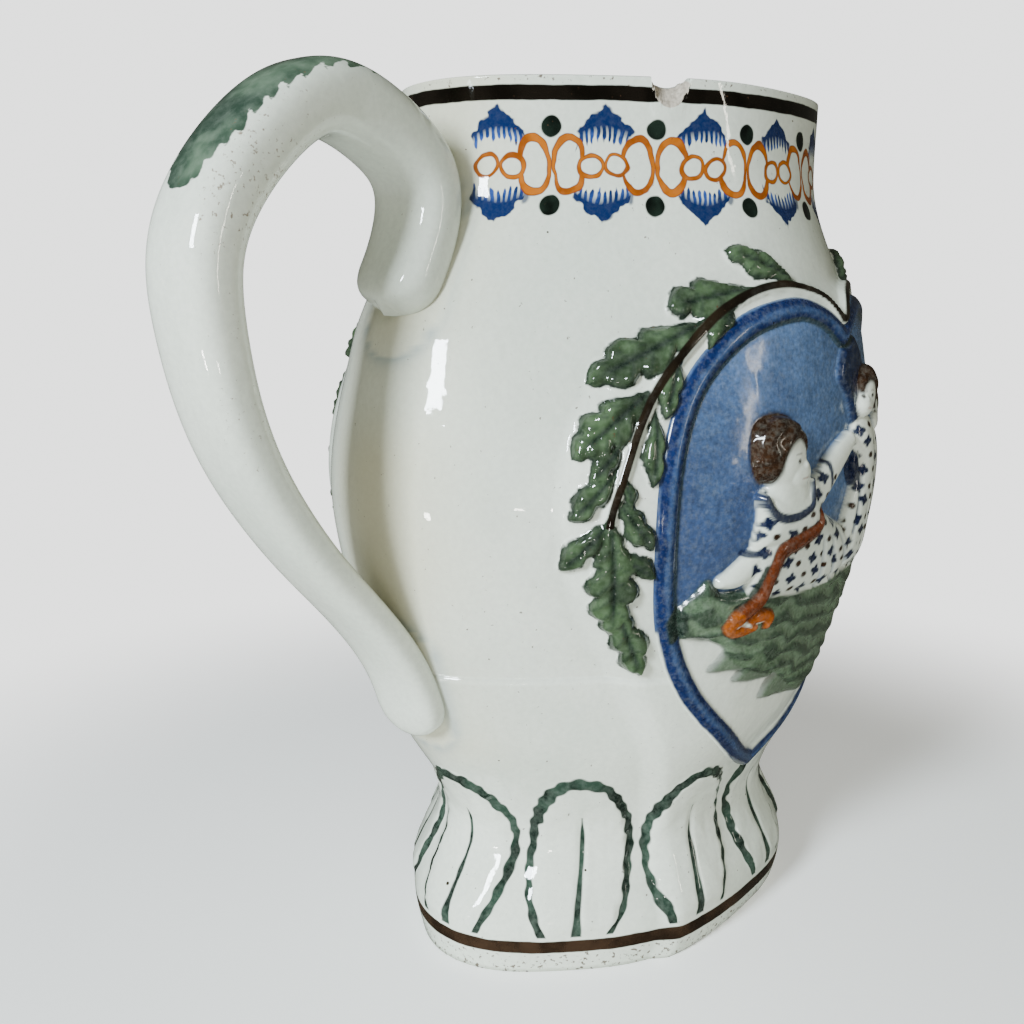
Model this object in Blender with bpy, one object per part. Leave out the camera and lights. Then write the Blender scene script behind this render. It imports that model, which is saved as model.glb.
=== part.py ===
"""A moulded pearlware jug: one hollow pottery solid with its handle luted on.

The jug stands on z = 0 with its axis on the origin. The handle is at -X, the pouring
lip at +X, and the two heart medallions face -Y and +Y.

The whole skin is one surface of two parameters: an angle round the axis, and a place
along the outline that runs from the middle of the underside, up the outer wall, over
the rim, down the inner wall and back to the middle of the floor. The moulded relief is
a height added to the outer wall. The outer wall is faceted between points laid along the
edges and crests of that relief, so that few faces carry crisp forms.
"""

import bpy
import numpy as np
from mathutils.geometry import delaunay_2d_cdt

MM = 0.001

# Heights of the outline, from the ground up.
FOOT_EDGE_RISE = 7 * MM
WAIST_RISE = 16 * MM
LOWER_BODY_RISE = 23 * MM
BELLY_RISE = 41 * MM
SHOULDER_RISE = 23 * MM
NECK_RISE = 27 * MM
RIM_RISE = 13 * MM

# Half sizes of the eight-sided plan at each of those heights: toward the handle and the
# lip, toward the medallions, and toward the four corners between them.
FOOT_BASE = (45.3 * MM, 30.3 * MM, 35.7 * MM)
FOOT_EDGE = (46.3 * MM, 31.8 * MM, 37.2 * MM)
WAIST = (38.4 * MM, 26.9 * MM, 31.6 * MM)
LOWER_BODY = (51.5 * MM, 36.9 * MM, 40.2 * MM)
BELLY = (61.6 * MM, 46 * MM, 50 * MM)
SHOULDER = (58 * MM, 45 * MM, 45.6 * MM)
NECK = (45.6 * MM, 36.3 * MM, 36.5 * MM)
RIM = (46.4 * MM, 35 * MM, 37.2 * MM)
CORNER_FACE_TURN = 41.0       # degrees from a medallion face to the corner face beside it
CORNER_CRISPNESS = 9.5        # higher gives sharper corners between the eight faces

WALL = 4 * MM
RIM_WALL = 3 * MM
FLOOR = 7 * MM
RIM_ROUND = 0.3 * MM          # how far the top of the rim is domed

LIP_REACH = 9 * MM
LIP_LIFT = 2.5 * MM
LIP_DEPTH = 30 * MM
LIP_HALF_ANGLE = 30.0

CHIP_TURN = 230.2             # degrees round the rim, measured from the pouring lip
CHIP_WIDTH = 5.8 * MM
CHIP_DEPTH = 4.1 * MM         # at the wall's outer edge
CHIP_INNER_DEPTH = 1 * MM     # at its inner edge

# The relief.
PANEL_RISE = 1.5 * MM
PANEL_EDGE = 5 * MM
MEDALLION_SHIFT = 2.3 * MM    # at the neck, how far the shown medallion is toward the lip
MEDALLION_LEAN = 0.031        # and how much further for each length down from there
BACK_SHIFT = 6 * MM           # the other medallion stands straight and is narrower
BACK_NARROWING = 0.14
RIM_FILLET_WIDTH = 2.8 * MM
RIM_FILLET_RISE = 0.8 * MM
FIELD_SINK = 0.5 * MM
STEM_WIDTH = 1.8 * MM
STEM_RISE = 0.9 * MM
LEAF_RISE = 1.5 * MM
BED_RISE = 0.5 * MM           # the garland's leaves stand on a low bed along its stem
FIGURE_RISE = 3.0 * MM
GROUND_RISE = 1.5 * MM
LIP_SIDE_FALL = 0.45          # share by which figures and ground lie flatter toward the lip
FOOT_LEAF_COUNT = 10
FOOT_LEAF_RISE = 0.7 * MM

# The handle, a pulled strap.
STRAP_WIDTH_TOP = 14.4 * MM
STRAP_WIDTH_END = 13.4 * MM
STRAP_THICKNESS_START = 9 * MM
STRAP_THICKNESS_TOP = 10.5 * MM
STRAP_THICKNESS_END = 6.2 * MM
STRAP_SINK = 2 * MM           # how far each end is pressed into the wall
STRAP_REACH = 40.7 * MM       # how far the middle of the strap stands out from the wall
STRAP_SQUARENESS = 2.8
STRAP_ROUND_END = 7 * MM

# Fineness of the faceted solid.
COLUMNS = 40
OUTER_ROWS = 24
INNER_ROWS = 9
SHARP_FROM = 62.0             # degrees between facets, past which an edge is shaded sharp
HANDLE_SIDES = 14
HANDLE_STATIONS = 30
CLOSEST_POINTS = 1.0 * MM
LIMB_SPACING = 2.4            # in the drawing's millimetres, as the relief's sizes below are
PLAIN_CLEARANCE = 3.4 * MM    # how far the plain wall's points stay from the relief's

# The drawing that the relief follows is measured in millimetres on a jug whose waist
# is at 23 mm and whose neck is at 137 mm, with 81.5 mm of belly from a medallion's
# middle to the handle. It stretches with the jug that it is laid on.
DRAWING_WAIST = 23.0
DRAWING_NECK = 137.0
DRAWING_QUARTER = 81.5

# Left half of the panel's edge, from the foot up: across, height.
PANEL_OUTLINE = ((-28, -4), (-27, 12), (-25.5, 20), (-28, 31), (-37, 48), (-48, 64), (-54, 75),
                 (-56.5, 88), (-52.5, 101), (-43, 110), (-32, 116), (-16, 121), (0, 122))
# Left half of the heart, from its cleft to its point.
HEART_OUTLINE = ((0, 112.5), (-5, 115.5), (-12.5, 117), (-24, 114), (-34, 105.5), (-39.5, 93.5),
                 (-40.5, 80), (-37.2, 65.5), (-28, 51.5), (-12, 37.5), (0, 30.5))
# Left branch of the garland, from the cleft down.
STEM = ((-0.5, 114), (-4, 118), (-10, 120), (-19, 119.5), (-28, 116), (-36, 109), (-42, 100),
        (-45.5, 92), (-47.5, 82))
# Leaves of the left branch: where each starts on the stem, its tip, and its width.
LEAVES = (((-8.5, 120), (-19.5, 126.5), 6.0), ((-20, 119.5), (-36, 115.5), 7.0),
          ((-32, 113), (-50.5, 105.5), 8.0), ((-40.5, 103), (-54, 95), 8.0),
          ((-45.5, 94), (-54.5, 85.5), 7.0), ((-48, 85), (-55, 76.5), 6.5),
          ((-48, 83), (-39.5, 59.5), 8.0))

# The figures of the shown medallion, as limbs: start, end, radius at each, share of rise.
SHOWN_LIMBS = (
    ((-22, 96.5), (-21.5, 93.5), 4.6, 3.8, 1.0),    # first child's head
    ((-20, 87), (-15, 78), 4.5, 7.0, 0.85),         # body
    ((-16, 74), (4, 75), 5.5, 6.5, 0.75),           # skirt, spread over the knees
    ((-12, 85), (-2.5, 94), 3.0, 2.6, 0.55),        # raised arm
    ((-22, 77), (-30, 73.5), 3.2, 2.8, 0.55),       # leg
    ((8, 103), (8.5, 99), 4.6, 3.8, 1.0),           # second child's head
    ((8, 93), (11, 80), 5.0, 7.5, 0.85),            # body
    ((3, 95), (-1, 90), 3.0, 2.6, 0.55),            # arm
    ((2.5, 109), (4, 100), 3.0, 4.0, 0.45),         # drape behind
)
HIDDEN_LIMBS = (
    ((-3, 97), (-2.5, 93.5), 4.8, 4.0, 1.0),
    ((-2, 87), (2, 77), 4.8, 7.5, 0.85),
    ((2, 73), (16, 73), 6.0, 5.0, 0.7),
    ((2, 86), (10, 92), 3.0, 2.6, 0.55),
)
# The sash that falls from the first child's waist.
SASH = ((-7, 81), (-13, 78.5), (-18, 77.5), (-20.5, 72), (-24, 67))
# The handle's line: the drawing's heights where each end lies on the wall, and between
# them its bow, as shares of the reach and heights.
STRAP_START = (115, 126)
STRAP_BOW = ((0.147, 137), (0.541, 145.4), (0.86, 139), (1.0, 126), (0.811, 112), (0.614, 97),
             (0.369, 82.5), (0.113, 67))
STRAP_END = (57, 45.5)
# The bank of ground under the figures: left to right along its top, then back below.
GROUND = ((-37, 70), (-30, 74), (-22, 71), (-10, 70), (6, 70.5), (20, 71), (34, 73), (37, 66),
          (24, 60), (12, 50), (-8, 50), (-14, 56), (-22, 58.5), (-30, 62.5), (-36, 63))


def smooth_step(x):
    x = np.clip(x, 0.0, 1.0)
    return x * x * (3.0 - 2.0 * x)


def heights():
    """The heights of the outline's stations, each a rise above the one before."""
    rises = (0.0, FOOT_EDGE_RISE, WAIST_RISE, LOWER_BODY_RISE, BELLY_RISE, SHOULDER_RISE,
             NECK_RISE, RIM_RISE)
    return np.cumsum(rises)


STATION_HEIGHTS = heights()
STATION_SIZES = np.array((FOOT_BASE, FOOT_EDGE, WAIST, LOWER_BODY, BELLY, SHOULDER, NECK, RIM))
WAIST_HEIGHT = STATION_HEIGHTS[2]
NECK_HEIGHT = STATION_HEIGHTS[6]
RIM_HEIGHT = STATION_HEIGHTS[7]


def through(stations, values, at):
    """A smooth curve through the values that never swings past them: cubic pieces whose
    slope is flat at a turning value and the harmonic mean of its neighbours elsewhere."""
    gaps = np.diff(stations)
    steps = np.diff(values) / gaps
    slopes = np.zeros(len(values))
    same_way = steps[:-1] * steps[1:] > 0
    both = np.where(same_way, steps[:-1] + steps[1:], 1.0)
    slopes[1:-1] = np.where(same_way, 2.0 * steps[:-1] * steps[1:] / both, 0.0)
    slopes[0], slopes[-1] = steps[0], steps[-1]
    k = np.clip(np.searchsorted(stations, at) - 1, 0, len(gaps) - 1)
    t = np.clip((at - stations[k]) / gaps[k], 0.0, 1.0)
    ease = t * t * (3 - 2 * t)
    lead = t * (1 - t) ** 2 * slopes[k] - t * t * (1 - t) * slopes[k + 1]
    return values[k] * (1 - ease) + values[k + 1] * ease + gaps[k] * lead


def plan_radius(angle, height, inset=0.0):
    """Distance from the axis to the eight-sided wall, in a direction and at a height."""
    long_half, wide_half, corner_half = (
        through(STATION_HEIGHTS, STATION_SIZES[:, i], height) - inset for i in range(3))
    turn = np.radians(CORNER_FACE_TURN)
    sides = [(0.0, long_half), (np.pi, long_half)]
    for middle in (-np.pi / 2, np.pi / 2):
        sides += [(middle, wide_half), (middle - turn, corner_half), (middle + turn, corner_half)]
    total = 0.0
    for facing, half in sides:
        total = total + (np.maximum(np.cos(angle - facing), 0) / half) ** CORNER_CRISPNESS
    return total ** (-1.0 / CORNER_CRISPNESS)


def lip_swell(angle, height):
    """How much of the pouring lip is felt at a place: one at its tip, none away from it."""
    away = np.abs((angle + np.pi) % (2 * np.pi) - np.pi) / np.radians(LIP_HALF_ANGLE)
    across = np.cos(np.clip(away, 0, 1) * np.pi / 2) ** 2
    return across * smooth_step((height - RIM_HEIGHT + LIP_DEPTH) / LIP_DEPTH) ** 1.5


def bare_wall(angle, height, inset=0.0):
    """A point of the wall without its relief, on the outside or set in by the wall."""
    swell = lip_swell(angle, height)
    radius = plan_radius(angle, height, inset) + LIP_REACH * swell
    lifted = height + LIP_LIFT * swell ** 2
    return np.stack((radius * np.cos(angle), radius * np.sin(angle), lifted), -1)


def along_wall(angle, height, samples=40):
    """Arc measured level along the wall from the nearest medallion's middle, positive
    toward the lip, and the whole arc from that middle to the handle."""
    folded = np.abs((angle + np.pi) % (2 * np.pi) - np.pi)      # 0 at the lip, pi at the handle
    share = np.linspace(0.0, 1.0, samples)

    def arc(to):
        sweep = np.pi / 2 + (to[..., None] - np.pi / 2) * share
        radius = plan_radius(sweep, height[..., None])
        x, y = radius * np.cos(sweep), radius * np.sin(sweep)
        return np.hypot(np.diff(x, axis=-1), np.diff(y, axis=-1)).sum(-1)

    return arc(folded) * np.sign(np.pi / 2 - folded), arc(np.full_like(folded, np.pi))


def curve_through(points, per_span=6):
    """A smooth line through points: each span is a cubic that aims along its neighbours."""
    p = np.array(points, float)
    p = np.vstack((2 * p[0] - p[1], p, 2 * p[-1] - p[-2]))
    t = np.linspace(0, 1, per_span, endpoint=False)[:, None]
    spans = []
    for a, b, c, d in zip(p, p[1:], p[2:], p[3:]):
        spans.append(0.5 * (2 * b + (c - a) * t + (2 * a - 5 * b + 4 * c - d) * t ** 2
                            + (3 * b - a - 3 * c + d) * t ** 3))
    return np.vstack(spans + [p[-2:-1]])


def distance_to(line, across, up):
    """Distance from each place to a chain of straight pieces."""
    a, b = line[:-1], line[1:]
    ab = b - a
    x, y = across[..., None] - a[:, 0], up[..., None] - a[:, 1]
    t = np.clip((x * ab[:, 0] + y * ab[:, 1]) / (ab ** 2).sum(1), 0, 1)
    return np.hypot(x - t * ab[:, 0], y - t * ab[:, 1]).min(-1)


def inside(outline, across, up):
    """Whether each place is inside a closed outline, by counting the edges to its right."""
    a, b = outline, np.roll(outline, -1, axis=0)
    x, y = across[..., None], up[..., None]
    spans = (a[:, 1] > y) != (b[:, 1] > y)
    drop = np.where(b[:, 1] == a[:, 1], 1.0, b[:, 1] - a[:, 1])
    cut = a[:, 0] + (y - a[:, 1]) * (b[:, 0] - a[:, 0]) / drop
    return (spans & (x < cut)).sum(-1) % 2 == 1


def depth_inside(outline, across, up):
    """Distance in from a closed outline, negative outside it."""
    closed = np.vstack((outline, outline[:1]))
    return np.where(inside(outline, across, up), 1, -1) * distance_to(closed, across, up)


def both_halves(half):
    """A closed outline from its smooth left half."""
    left = curve_through(half)
    return np.vstack((left, left[-2:0:-1] * (-1, 1)))


def limb(across, up, start, end, start_radius, end_radius):
    """Rounded swelling along a line, one at its crest and nothing past its radius."""
    start, end = np.array(start, float), np.array(end, float)
    run = end - start
    t = np.clip(((across - start[0]) * run[0] + (up - start[1]) * run[1]) / (run @ run), 0, 1)
    away = np.hypot(across - start[0] - t * run[0], up - start[1] - t * run[1])
    radius = start_radius + (end_radius - start_radius) * t
    return np.sqrt(np.clip(1 - (away / radius) ** 2, 0, 1))


def leaf_half(along, width):
    """Half the width of a leaf at a share of its length, widest past a third."""
    return 0.5 * width * np.sin(np.pi * np.clip(along, 0, 1) ** 0.8) ** 0.7


def leaf(across, up, start, tip, width):
    """A pointed leaf between two places, with its crest along its middle."""
    start, tip = np.array(start, float), np.array(tip, float)
    length = np.hypot(*(tip - start))
    ahead = (tip - start) / length
    along = ((across - start[0]) * ahead[0] + (up - start[1]) * ahead[1]) / length
    aside = np.abs((up - start[1]) * ahead[0] - (across - start[0]) * ahead[1])
    half = np.maximum(leaf_half(along, width), 0.01)
    to_end = smooth_step(np.minimum(along, 1 - along) / 0.14)
    return np.clip(1 - aside / half, 0, 1) ** 0.7 * to_end


PANEL_LINE = both_halves(PANEL_OUTLINE)
HEART_LINE = both_halves(HEART_OUTLINE)
STEM_LINE = curve_through(STEM)
SASH_LINE = curve_through(SASH)
GROUND_LINE = curve_through(GROUND + GROUND[:1])[:-1]

# Half widths of the crests, in the drawing's millimetres, where they meet the wall.
FILLET_HALF = RIM_FILLET_WIDTH / MM / 2 + 0.4
STEM_HALF = STEM_WIDTH / MM / 2 + 0.3
SASH_HALF = 2.0
BANK_EDGE = 2.2
FALL_FROM, FALL_TO = 6.0, 16.0
BED_FLAT, BED_HALF = 2.0, 6.0
PANEL_TOP, PANEL_TOP_FADE = 124.0, 12.0
LEAF_TOP, LEAF_WIDEST, LEAF_FOOT = 36.5, 21.0, 7.5
LEAF_EDGE = 1.7


def garland(across, up):
    """Height of the garland: its stem and its leaves, alike on the left and the right."""
    left = -np.abs(across)
    away = distance_to(STEM_LINE, left, up)
    stem = np.clip(1 - (away / STEM_HALF) ** 2, 0, 1)
    bed = smooth_step((BED_HALF - away) / (BED_HALF - BED_FLAT))
    leaves = np.zeros_like(across)
    for start, tip, width in LEAVES:
        leaves = np.maximum(leaves, leaf(left, up, start, tip, width))
    return np.maximum.reduce((STEM_RISE * np.sqrt(stem), LEAF_RISE * leaves, BED_RISE * bed))


def picture(across, up, limbs, sash):
    """Height of the figures and their ground inside a heart."""
    bank = smooth_step(depth_inside(GROUND_LINE, across, up) / BANK_EDGE)
    height = GROUND_RISE * bank
    for start, end, start_radius, end_radius, share in limbs:
        swell = limb(across, up, start, end, start_radius, end_radius)
        height = np.maximum(height, FIGURE_RISE * share * swell)
    if sash:
        over = np.clip(1 - (distance_to(SASH_LINE, across, up) / SASH_HALF) ** 2, 0, 1)
        height = height + FIGURE_RISE * 0.3 * np.sqrt(over)
    falling = smooth_step((across - FALL_FROM) / (FALL_TO - FALL_FROM))
    return height * (1 - LIP_SIDE_FALL * falling)


def foot_leaf_half(up, pitch):
    """Half the width of an upright leaf of the foot at a height of the drawing."""
    above = np.clip((up - LEAF_WIDEST) / (LEAF_TOP - LEAF_WIDEST), 0, 1)
    below = np.clip((LEAF_WIDEST - up) / LEAF_WIDEST, 0, 1)
    return 0.44 * pitch * np.sqrt(1 - above ** 2) * (1 - 0.3 * below ** 2)


def foot_leaves(arc, quarter, up):
    """Height of the ring of upright leaves round the foot."""
    pitch = 4 * quarter / FOOT_LEAF_COUNT
    place = (arc - quarter) / pitch
    aside = np.abs(place - np.round(place)) * pitch
    blade = smooth_step((foot_leaf_half(up, pitch) - aside) / (LEAF_EDGE * MM))
    blade = blade * smooth_step((up - LEAF_FOOT) / 2)
    return FOOT_LEAF_RISE * blade * (1 - 0.5 * np.clip(1 - aside / (LEAF_EDGE * MM), 0, 1))


def drawing_stretch():
    """How much wider the drawing is laid on this jug than on the one it was made for."""
    middle = np.full(1, STATION_HEIGHTS[4])
    return along_wall(np.full(1, np.pi), middle)[1][0] / DRAWING_QUARTER


STRETCH = drawing_stretch()
DRAWING_RISE = (NECK_HEIGHT - WAIST_HEIGHT) / (DRAWING_NECK - DRAWING_WAIST)


def drawing_up(height):
    return DRAWING_WAIST + (height - WAIST_HEIGHT) / DRAWING_RISE


def height_of(up):
    return WAIST_HEIGHT + (up - DRAWING_WAIST) * DRAWING_RISE


def medallion_shift(height):
    """How far toward the lip the shown medallion stands at a height."""
    return MEDALLION_SHIFT + MEDALLION_LEAN * (NECK_HEIGHT - height)


def relief(angle, height):
    """Height of the moulded relief above the bare wall, at an angle and a height."""
    arc, quarter = along_wall(angle, height)
    up = drawing_up(height)
    shown = np.sin(angle) < 0
    panel_across = (arc - medallion_shift(height)) / STRETCH
    back_across = (arc - BACK_SHIFT) / (STRETCH * (1 - BACK_NARROWING))
    across = np.where(shown, panel_across, back_across)

    panel = smooth_step(depth_inside(PANEL_LINE, panel_across, up) / (PANEL_EDGE / MM))
    rise = PANEL_RISE * panel * smooth_step((PANEL_TOP - up) / PANEL_TOP_FADE)
    heart = depth_inside(HEART_LINE, across, up)
    crest = RIM_FILLET_WIDTH / MM / 2
    fillet = np.clip(1 - ((heart - crest) / FILLET_HALF) ** 2, 0, 1)
    field = smooth_step((heart - crest) / FILLET_HALF)
    scene = np.where(shown, picture(across, up, SHOWN_LIMBS, True),
                     picture(across, up, HIDDEN_LIMBS, False))
    scene = np.where(heart > crest, scene, 0.0)
    rise = rise + np.maximum(RIM_FILLET_RISE * np.sqrt(fillet), scene) - FIELD_SINK * field
    rise = rise + garland(across, up) * smooth_step(0.5 - heart)
    return rise + foot_leaves(arc, quarter, up)


def evenly(line, spacing):
    """Points along a line at a spacing."""
    run = np.concatenate(((0.0,), np.cumsum(np.hypot(*np.diff(line, axis=0).T))))
    at = np.linspace(0, run[-1], max(2, int(round(run[-1] / spacing)) + 1))
    return np.stack([np.interp(at, run, line[:, i]) for i in range(2)], 1)


def beside(line, offset):
    """A line shifted to its left by an offset."""
    ahead = np.gradient(line, axis=0)
    ahead /= np.linalg.norm(ahead, axis=1, keepdims=True)
    return line + offset * np.stack((-ahead[:, 1], ahead[:, 0]), 1)


def ring_round(start, end, start_radius, end_radius, spacing):
    """Points round a limb: half a circle at each end and the two straight sides."""
    start, end = np.array(start, float), np.array(end, float)
    heading = np.arctan2(*(end - start)[::-1])
    half = np.linspace(-np.pi / 2, np.pi / 2, 13)
    far = np.stack((np.cos(heading + half), np.sin(heading + half)), 1)
    near = np.stack((np.cos(heading + np.pi + half), np.sin(heading + np.pi + half)), 1)
    ring = np.vstack((end + end_radius * far, start + start_radius * near))
    return evenly(np.vstack((ring, ring[:1])), spacing)


def crest_and_sides(line, half, spacing):
    """Points along a crest and along both of its feet, set between each other."""
    return np.vstack((evenly(line, spacing), beside(evenly(line, spacing), half),
                      beside(evenly(line, spacing), -half)))


def leaf_points(start, tip, width):
    """Points along a leaf's midrib and round its edge."""
    start, tip = np.array(start, float), np.array(tip, float)
    run = tip - start
    aside = np.array((-run[1], run[0])) / np.hypot(*run)
    rib = np.linspace(0.1, 0.92, 6)[:, None]
    edge = np.linspace(0.06, 0.94, 8)[:, None]
    half = leaf_half(edge, width)
    return np.vstack((start + run * rib, start + run * edge + aside * half,
                      start + run * edge - aside * half, tip[None]))


def medallion_points(limbs, sash):
    """Places in the drawing that the facets of one medallion pass through."""
    crest = RIM_FILLET_WIDTH / MM / 2
    groups = []
    for start, end, start_radius, end_radius, _ in limbs:
        groups.append(evenly(np.array((start, end), float), LIMB_SPACING))
        for share in (0.99, 0.6):
            ring = ring_round(start, end, start_radius * share, end_radius * share, LIMB_SPACING)
            groups.append(ring)
    if sash:
        groups.append(crest_and_sides(SASH_LINE, SASH_HALF, 3.0))
    closed_heart = np.vstack((HEART_LINE, HEART_LINE[:1]))
    for depth in (crest, crest - FILLET_HALF, crest + FILLET_HALF):
        groups.append(beside(evenly(closed_heart, 3.6), depth))
    groups.append(evenly(GROUND_LINE, 4.0))
    groups.append(beside(evenly(GROUND_LINE, 4.5), -BANK_EDGE))
    for way in (1, -1):
        groups.append(crest_and_sides(STEM_LINE, STEM_HALF, 3.2) * (way, 1))
        for start, tip, width in LEAVES:
            groups.append(leaf_points(start, tip, width) * (way, 1))
    return np.vstack(groups)


def panel_points():
    """Places in the drawing along both sides of a panel's edge."""
    closed = np.vstack((PANEL_LINE, PANEL_LINE[:1]))
    return np.vstack([beside(evenly(closed, PANEL_EDGE / MM), depth)
                      for depth in (PANEL_EDGE / MM, 0.0)])


def angle_at(arc, height):
    """The folded angle whose arc from the medallion's middle is this, at each height."""
    folded = np.linspace(0, np.pi, 181)
    radius = plan_radius(folded, height[:, None])
    x, y = radius * np.cos(folded), radius * np.sin(folded)
    run = np.concatenate((np.zeros((len(height), 1)),
                          np.cumsum(np.hypot(np.diff(x, axis=1), np.diff(y, axis=1)), axis=1)), 1)
    run = run[:, 90:91] - run
    return np.array([np.interp(-a, -r, folded) for a, r in zip(arc, run)])


def relief_places():
    """Angles and heights of every point that the relief asks for."""
    angles, levels = [], []
    panel = panel_points()
    leaning = ((-1, medallion_points(SHOWN_LIMBS, True)), (-1, panel), (1, panel))
    laid = [(side, drawn, STRETCH, medallion_shift(height_of(drawn[:, 1]))) for side, drawn in leaning]
    laid.append((1, medallion_points(HIDDEN_LIMBS, False), STRETCH * (1 - BACK_NARROWING), BACK_SHIFT))
    for side, drawn, stretch, shift in laid:
        height = height_of(drawn[:, 1])
        angles.append(side * angle_at(drawn[:, 0] * stretch + shift, height))
        levels.append(height)
    ups = np.array((LEAF_FOOT, 13.0, 19.0, 25.0, 30.0, 34.0, LEAF_TOP))
    level = height_of(ups)
    quarter = along_wall(np.full(len(ups), np.pi), level)[1]
    pitch = 4 * quarter / FOOT_LEAF_COUNT
    half = foot_leaf_half(ups, pitch)
    for leaf_number in range(FOOT_LEAF_COUNT // 2 + 1):
        for offset in (-half, -half + LEAF_EDGE * MM, 0 * half, half - LEAF_EDGE * MM, half):
            arc = leaf_number * pitch - quarter + offset
            on_side = np.abs(arc) < quarter - CLOSEST_POINTS
            folded = angle_at(arc, level)
            for side in (-1, 1):
                angles.append(side * folded[on_side])
                levels.append(level[on_side])
    return np.concatenate(angles), np.concatenate(levels)


def chip_bite(angle):
    """How far the chip in the rim is felt at an angle, one at its deepest."""
    reach = plan_radius(np.radians(CHIP_TURN), np.array(RIM_HEIGHT))
    away = (angle - np.radians(CHIP_TURN) + np.pi) % (2 * np.pi) - np.pi
    away = np.abs(away) * reach / (CHIP_WIDTH / 2)
    return np.sqrt(np.clip(1 - away ** 2, 0, 1))


def skin(angle, place):
    """A point of the jug's skin. The place runs 0 to 1 over the underside, 1 to 2 up the
    outer wall, 2 to 3 across the rim, 3 to 4 down the inner wall and 4 to 5 over the floor."""
    zone = np.clip(np.floor(place), 0, 4)
    t = place - zone
    upward = np.where(zone == 1, t, np.where(zone == 3, 1 - t, (zone == 2) * 1.0))
    height = np.where(zone >= 3, FLOOR + (RIM_HEIGHT - FLOOR) * upward, RIM_HEIGHT * upward)

    small_turn, small_rise = 0.002, 2 * MM
    lower = np.clip(height - small_rise, 0, RIM_HEIGHT)
    upper = np.clip(height + small_rise, 0, RIM_HEIGHT)
    outer = bare_wall(angle, height)
    round_way = bare_wall(angle + small_turn, height) - bare_wall(angle - small_turn, height)
    up_way = bare_wall(angle, upper) - bare_wall(angle, lower)
    facing = np.cross(round_way, up_way)
    facing /= np.linalg.norm(facing, axis=-1, keepdims=True)
    facing[np.abs(height) < 1e-9, 2] = 0
    outer = outer + facing * relief(angle, height)[..., None]

    thickness = WALL + (RIM_WALL - WALL) * smooth_step((height - NECK_HEIGHT) / RIM_RISE)
    inner = bare_wall(angle, height, thickness)
    across = np.where(zone == 2, t, 0)[..., None]
    rim = outer * (1 - across) + inner * across
    rim[..., 2] += RIM_ROUND * np.sin(np.pi * across[..., 0])

    z = zone[..., None]
    point = np.where(z == 2, rim, np.where(z >= 3, inner, outer))
    below_rim = smooth_step(1 + (height - RIM_HEIGHT) / (2 * CHIP_DEPTH))
    outer_share = np.select((zone == 2, zone < 2), (1 - t, below_rim), 0.0)
    inner_share = np.select((zone == 2, zone == 3), (t, below_rim), 0.0)
    bite = chip_bite(angle)
    point[..., 2] -= bite * (CHIP_DEPTH * outer_share + CHIP_INNER_DEPTH * bite * inner_share)
    spread = np.where(zone == 0, t, np.where(zone == 4, 1 - t, 1.0))[..., None]
    flat = point * (1, 1, 0) * spread + point * (0, 0, 1)
    return np.where((z == 0) | (z == 4), flat, point)


def rim_angles():
    """The columns of the rim and the inner wall, with a few more across the chip."""
    even = np.linspace(-np.pi, np.pi, COLUMNS, endpoint=False)
    reach = plan_radius(np.radians(CHIP_TURN), np.array(RIM_HEIGHT))
    middle = (np.radians(CHIP_TURN) + np.pi) % (2 * np.pi) - np.pi
    across = middle + np.array((-1, -0.8, -0.35, 0.15, 0.7, 1)) * CHIP_WIDTH / 2 / reach
    clear = np.abs(even - middle) > 1.3 * CHIP_WIDTH / 2 / reach
    return np.sort(np.concatenate((even[clear], across)))


def outer_wall():
    """Angles, heights and facets of the outer wall. It is laid out flat from one side of
    the handle round to the other, and its facets join the points as evenly as they can."""
    level = np.linspace(0, RIM_HEIGHT, OUTER_ROWS)
    bottom = np.linspace(-np.pi, np.pi, COLUMNS + 1)
    top = np.concatenate((rim_angles(), (np.pi,)))
    inner = level[1:-1]
    beside_handle = np.full(len(inner), np.pi)
    fixed_angle = np.concatenate((bottom, top, -beside_handle, beside_handle))
    fixed_level = np.concatenate((0 * bottom, 0 * top + RIM_HEIGHT, inner, inner))
    feature_angle, feature_level = relief_places()
    plain_angle, plain_level = [g.ravel() for g in np.meshgrid(bottom[1:-1], inner)]
    angle = np.concatenate((fixed_angle, feature_angle, plain_angle))
    height = np.concatenate((fixed_level, feature_level, plain_level))
    clearance = np.concatenate((np.zeros(len(fixed_angle)), np.full(len(feature_angle), CLOSEST_POINTS),
                                np.full(len(plain_angle), PLAIN_CLEARANCE)))
    belly = STATION_SIZES[4].mean()
    flat = np.stack((angle * belly, height), 1)
    kept = []
    for number, place in enumerate(flat):
        away = np.hypot(*(flat[kept] - place).T).min() if kept else 1.0
        on_edge = min(place[1], RIM_HEIGHT - place[1], (np.pi - abs(angle[number])) * belly)
        if number < len(fixed_angle) or (away > clearance[number] and on_edge > clearance[number]):
            kept.append(number)
    flat, angle, height = flat[kept], angle[kept], height[kept]
    found = delaunay_2d_cdt([tuple(p) for p in flat], [], [], 0, 1e-9)
    origin = [group[0] for group in found[3]]
    faces = np.array([[origin[v] for v in face] for face in found[2]])
    left = len(bottom) + len(top) + np.arange(len(inner))
    same = np.arange(len(angle))
    same[left + len(inner)] = left
    same[len(bottom) - 1] = 0
    same[len(bottom) + len(top) - 1] = len(bottom)
    return angle, height, same[faces], np.arange(len(bottom) - 1), len(bottom) + np.arange(len(top) - 1)


def join_rings(low, high):
    """Facets between two rings of as many points, wound to face out when low is below."""
    faces = []
    for a, b, c, d in zip(low, np.roll(low, -1), high, np.roll(high, -1)):
        faces += [(a, b, d), (a, d, c)]
    return faces


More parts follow.
